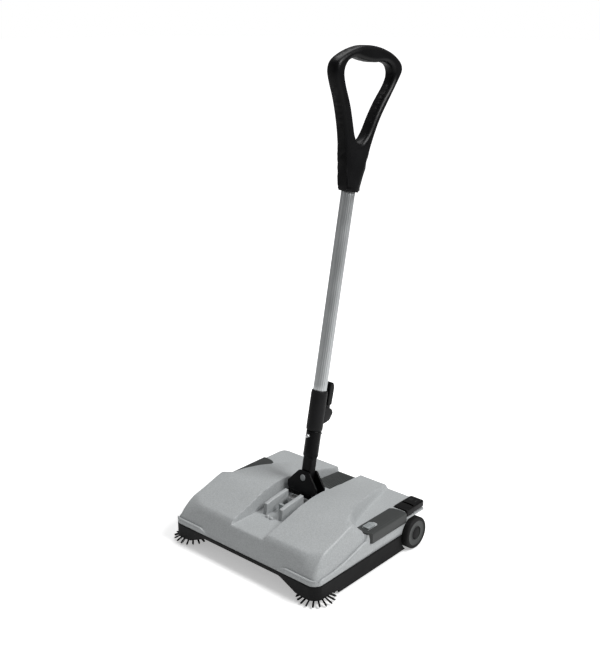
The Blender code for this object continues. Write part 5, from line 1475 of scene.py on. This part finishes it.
@dataclass
class Grip:
    """The loop grip, drawn from the side as an outer and an inner outline round a centre."""

    palette: Palette
    base: float = 0.5548
    centre: tuple[float, float] = (0.0, 0.190)
    rays: int = 220
    steps: int = 30
    edge: float = 0.0085
    half_loop: float = 0.0134
    half_base: float = 0.0176

    def outlines(self) -> tuple[Array, Array]:
        """The loop's outer and inner outlines, as (depth, height above the grip's base), smoothed."""
        outer = np.array([
            (-0.0176, 0.0042), (-0.0285, 0.048), (-0.0425, 0.101), (-0.0645, 0.150), (-0.0850, 0.181),
            (-0.0935, 0.199), (-0.0900, 0.217), (-0.0640, 0.236), (-0.0240, 0.2535), (0.0200, 0.2583),
            (0.0600, 0.2548), (0.0880, 0.2438), (0.0953, 0.2300), (0.0880, 0.213), (0.0650, 0.169),
            (0.0490, 0.138),
            (0.0370, 0.101), (0.0265, 0.055), (0.0176, 0.0042)])
        inner = np.array([
            (0.0010, 0.0850), (0.0200, 0.106), (0.0330, 0.142), (0.0480, 0.172), (0.0660, 0.200),
            (0.0720, 0.219),
            (0.0620, 0.2330), (0.0400, 0.2360), (0.0100, 0.2285), (-0.0200, 0.2270), (-0.0430, 0.2290),
            (-0.0620, 0.2190), (-0.0690, 0.2010), (-0.0600, 0.181), (-0.0400, 0.152), (-0.0270, 0.125),
            (-0.0150, 0.098)])
        smooth = soften(outer[1:-1], 0.03, 9, closed=False)
        return np.concatenate([outer[:1], smooth, outer[-1:]]), soften(inner, 0.03, 9)

    def reach(self, outline: Array, angle: Array) -> Array:
        """Distance from the centre to an outline along each ray, read between the outline's own angles.

        Args:
            outline: Outline round the centre, one row for each point.
            angle: Directions of the rays.

        Returns:
            One distance for each ray.
        """
        arms = resampled(np.concatenate([outline, outline[:1]]), 4000) - self.centre
        turned_by = np.arctan2(arms[:, 1], arms[:, 0])
        order = np.argsort(turned_by)
        return np.interp(angle, turned_by[order], np.linalg.norm(arms, axis=1)[order], period=2 * math.pi)

    def thickness(self, points: Array, outer: Array, inner: Array) -> Array:
        """Half the grip's thickness at points of its side view.

        Formula: (T - r) + r sqrt(1 - (1 - q)^2), with q = d/r held under 1 and d the distance to the nearer
        long edge. T and r grow towards the base, where the section becomes a circle.

        Args:
            points: Points of the side view, in any grid.
            outer: Outer outline, open at the base.
            inner: Outline of the hole.

        Returns:
            Half thicknesses, in the same grid.
        """
        edges = np.concatenate([resampled(outer, 900), resampled(np.concatenate([inner, inner[:1]]), 900)])
        flat = points.reshape(-1, 2)
        near = np.array([np.sqrt(((edges - point) ** 2).sum(1).min())
                         for point in flat]).reshape(points.shape[:-1])
        low = 1 - ease(points[..., 1] / 0.075)
        whole = self.half_loop + (self.half_base - self.half_loop) * low
        round_by = self.edge + (self.half_base - self.edge) * low
        q = np.clip(near / round_by, 0.0, 1.0)
        return whole - round_by + round_by * np.sqrt(1 - (1 - q) ** 2)

    def build(self) -> None:
        """Builds the loop: along each ray a front sheet out and a back sheet in, joined at both edges."""
        outer, inner = self.outlines()
        corners = np.arctan2(outer[[0, -1], 1] - self.centre[1], outer[[0, -1], 0] - self.centre[0])
        angle = np.sort(np.concatenate([np.linspace(-math.pi, math.pi, self.rays, endpoint=False), corners,
                                        corners + (-0.004, 0.004)]))
        near, far = self.reach(inner, angle), self.reach(outer, angle)
        share = (1 - np.cos(np.linspace(0.0, math.pi, self.steps))) / 2
        length = near[:, None] + (far - near)[:, None] * share
        points = np.stack([self.centre[0] + length * np.cos(angle)[:, None],
                           self.centre[1] + length * np.sin(angle)[:, None]], axis=-1)
        half = self.thickness(points, outer, inner)[..., None]
        raised = points + (0.0, self.base)
        sheets = np.concatenate([np.concatenate([raised, half], -1),
                                 np.concatenate([raised, -half], -1)[:, ::-1]], 1)
        mesh = mesh_from("loop_grip", [Patch(PROFILE.at(sheets), wrap_u=True, wrap_v=True)])
        dress(mesh, self.palette.handle, "pole", stands_for=("grip",), shading=Shading.SOFT)


# ---- stage and camera --------------------------------------------------------------------------------------
@dataclass
class Studio:
    """Pale floor, soft lamps and the camera."""

    eye: tuple[float, float, float] = (1.0689, -1.2590, 0.9238)
    azimuth: float = 41.50
    pitch: float = 17.64
    lens_mm: float = 53.41
    floor_glow: float = 0.40    # added where the view meets the floor, as on a lit table
    floor_half: float = 40.0
    ambient: float = 0.20       # light from all round; only the view's own rays see the backdrop white

    def floor(self) -> None:
        """A large pale floor under the sweeper, of matt paint with the faintest unevenness.

        What the view itself sees of it glows a little, more so far off, so that it runs into the white
        backdrop. The sweeper isn't lit by that glow.
        """
        half = self.floor_half
        mesh = bpy.data.meshes.new("studio_floor")
        mesh.from_pydata([(-half, -half, 0), (half, -half, 0), (half, half, 0), (-half, half, 0)], [],
                         [(0, 1, 2, 3)])
        floor = bpy.data.objects.new("studio_floor", mesh)
        bpy.context.scene.collection.objects.link(floor)
        paint = Finish("matt_white_paint", "#F4F4F4", "#F6F6F6", 0.85, 40.0, 0.01, specular=0.1).material()
        mesh.materials.append(paint)
        tree = paint.node_tree
        shader = tree.nodes["Principled BSDF"]
        place = add_node(tree, "ShaderNodeTexCoord").outputs["Object"]
        away = add_node(tree, "ShaderNodeVectorMath", {0: place}, operation="LENGTH")
        glow = add_node(tree, "ShaderNodeMapRange", {"Value": away.outputs["Value"], "From Min": 0.35,
                                                     "From Max": 1.3,
                                                     "To Min": self.floor_glow, "To Max": 1.0})
        ray = add_node(tree, "ShaderNodeLightPath")
        seen = add_node(tree, "ShaderNodeMath",
                        {0: glow.outputs["Result"], 1: ray.outputs["Is Camera Ray"]},
                        operation="MULTIPLY")
        shader.inputs["Emission Color"].default_value = (1, 1, 1, 1)
        tree.links.new(seen.outputs[0], shader.inputs["Emission Strength"])

    def lamp(self, name: str, place: tuple[float, float, float], aim: tuple[float, float, float],
             size: float,
             watts: float) -> None:
        """A square soft lamp.

        Args:
            name: The lamp's name.
            place: Where it hangs.
            aim: What it points at.
            size: Length of its side.
            watts: Its power.
        """
        data = bpy.data.lights.new(name, "AREA")
        data.size = size
        data.energy = watts
        lamp = bpy.data.objects.new(name, data)
        bpy.context.scene.collection.objects.link(lamp)
        back = np.array(place) - np.array(aim)
        lamp.matrix_world = facing(np.array(place), back)

    def build(self) -> None:
        """Builds the floor, the lamps, the world and the camera."""
        scene = bpy.context.scene
        self.floor()
        self.lamp("key", (1.9, 0.5, 2.2), (0, 0, 0.1), 1.1, 62.0)
        self.lamp("top", (-0.4, 0.6, 2.6), (0, 0, 0.1), 1.5, 30.0)
        self.lamp("fill", (-1.8, -1.6, 1.0), (0, 0, 0.2), 1.6, 2.0)
        world = bpy.data.worlds.new("studio")
        world.use_nodes = True
        ray = add_node(world.node_tree, "ShaderNodeLightPath")
        strength = add_node(world.node_tree, "ShaderNodeMapRange", {"Value": ray.outputs["Is Camera Ray"],
                                                                    "To Min": self.ambient, "To Max": 1.0})
        background = world.node_tree.nodes["Background"]
        background.inputs["Color"].default_value = (1, 1, 1, 1)
        world.node_tree.links.new(strength.outputs["Result"], background.inputs["Strength"])
        scene.world = world
        scene.view_settings.view_transform = "Standard"
        data = bpy.data.cameras.new("view")
        data.lens = self.lens_mm
        data.sensor_width = 36.0
        data.clip_end = 50.0
        camera = bpy.data.objects.new("view", data)
        scene.collection.objects.link(camera)
        turn, tilt = math.radians(self.azimuth), math.radians(self.pitch)
        back = np.array([math.sin(turn) * math.cos(tilt), -math.cos(turn) * math.cos(tilt), math.sin(tilt)])
        camera.matrix_world = facing(np.array(self.eye), back)
        scene.camera = camera


def facing(place: Array, back: Array) -> Matrix:
    """A matrix that stands at a place and looks against `back`, with its x level.

    Args:
        place: Where it stands.
        back: Direction from what is looked at to the place.

    Returns:
        The matrix.
    """
    back = back / np.linalg.norm(back)
    right = np.cross((0.0, 0.0, 1.0), back)
    right = right / np.linalg.norm(right)
    matrix = np.eye(4)
    matrix[:3, 0], matrix[:3, 1], matrix[:3, 2], matrix[:3, 3] = right, np.cross(back, right), back, place
    return Matrix(matrix.tolist())


def main() -> None:
    """Builds every sub-assembly in order, then the stage."""
    logging.basicConfig(level=logging.INFO, format="%(message)s")
    plan, palette = BodyPlan(), Palette()
    for part in (TopCover(plan, palette), Chassis(plan, palette), SideInserts(plan, palette),
                 FootSwitch(plan, palette),
                 BatteryCover(plan, palette), ParkLatch(palette), Wheels(palette), Bristles(palette),
                 Neck(palette),
                 Pole(palette), Grip(palette)):
        LOG.info("%s", type(part).__name__)
        part.build()
    Studio().build()
    bpy.context.view_layer.update()


if __name__ == "__main__":
    main()
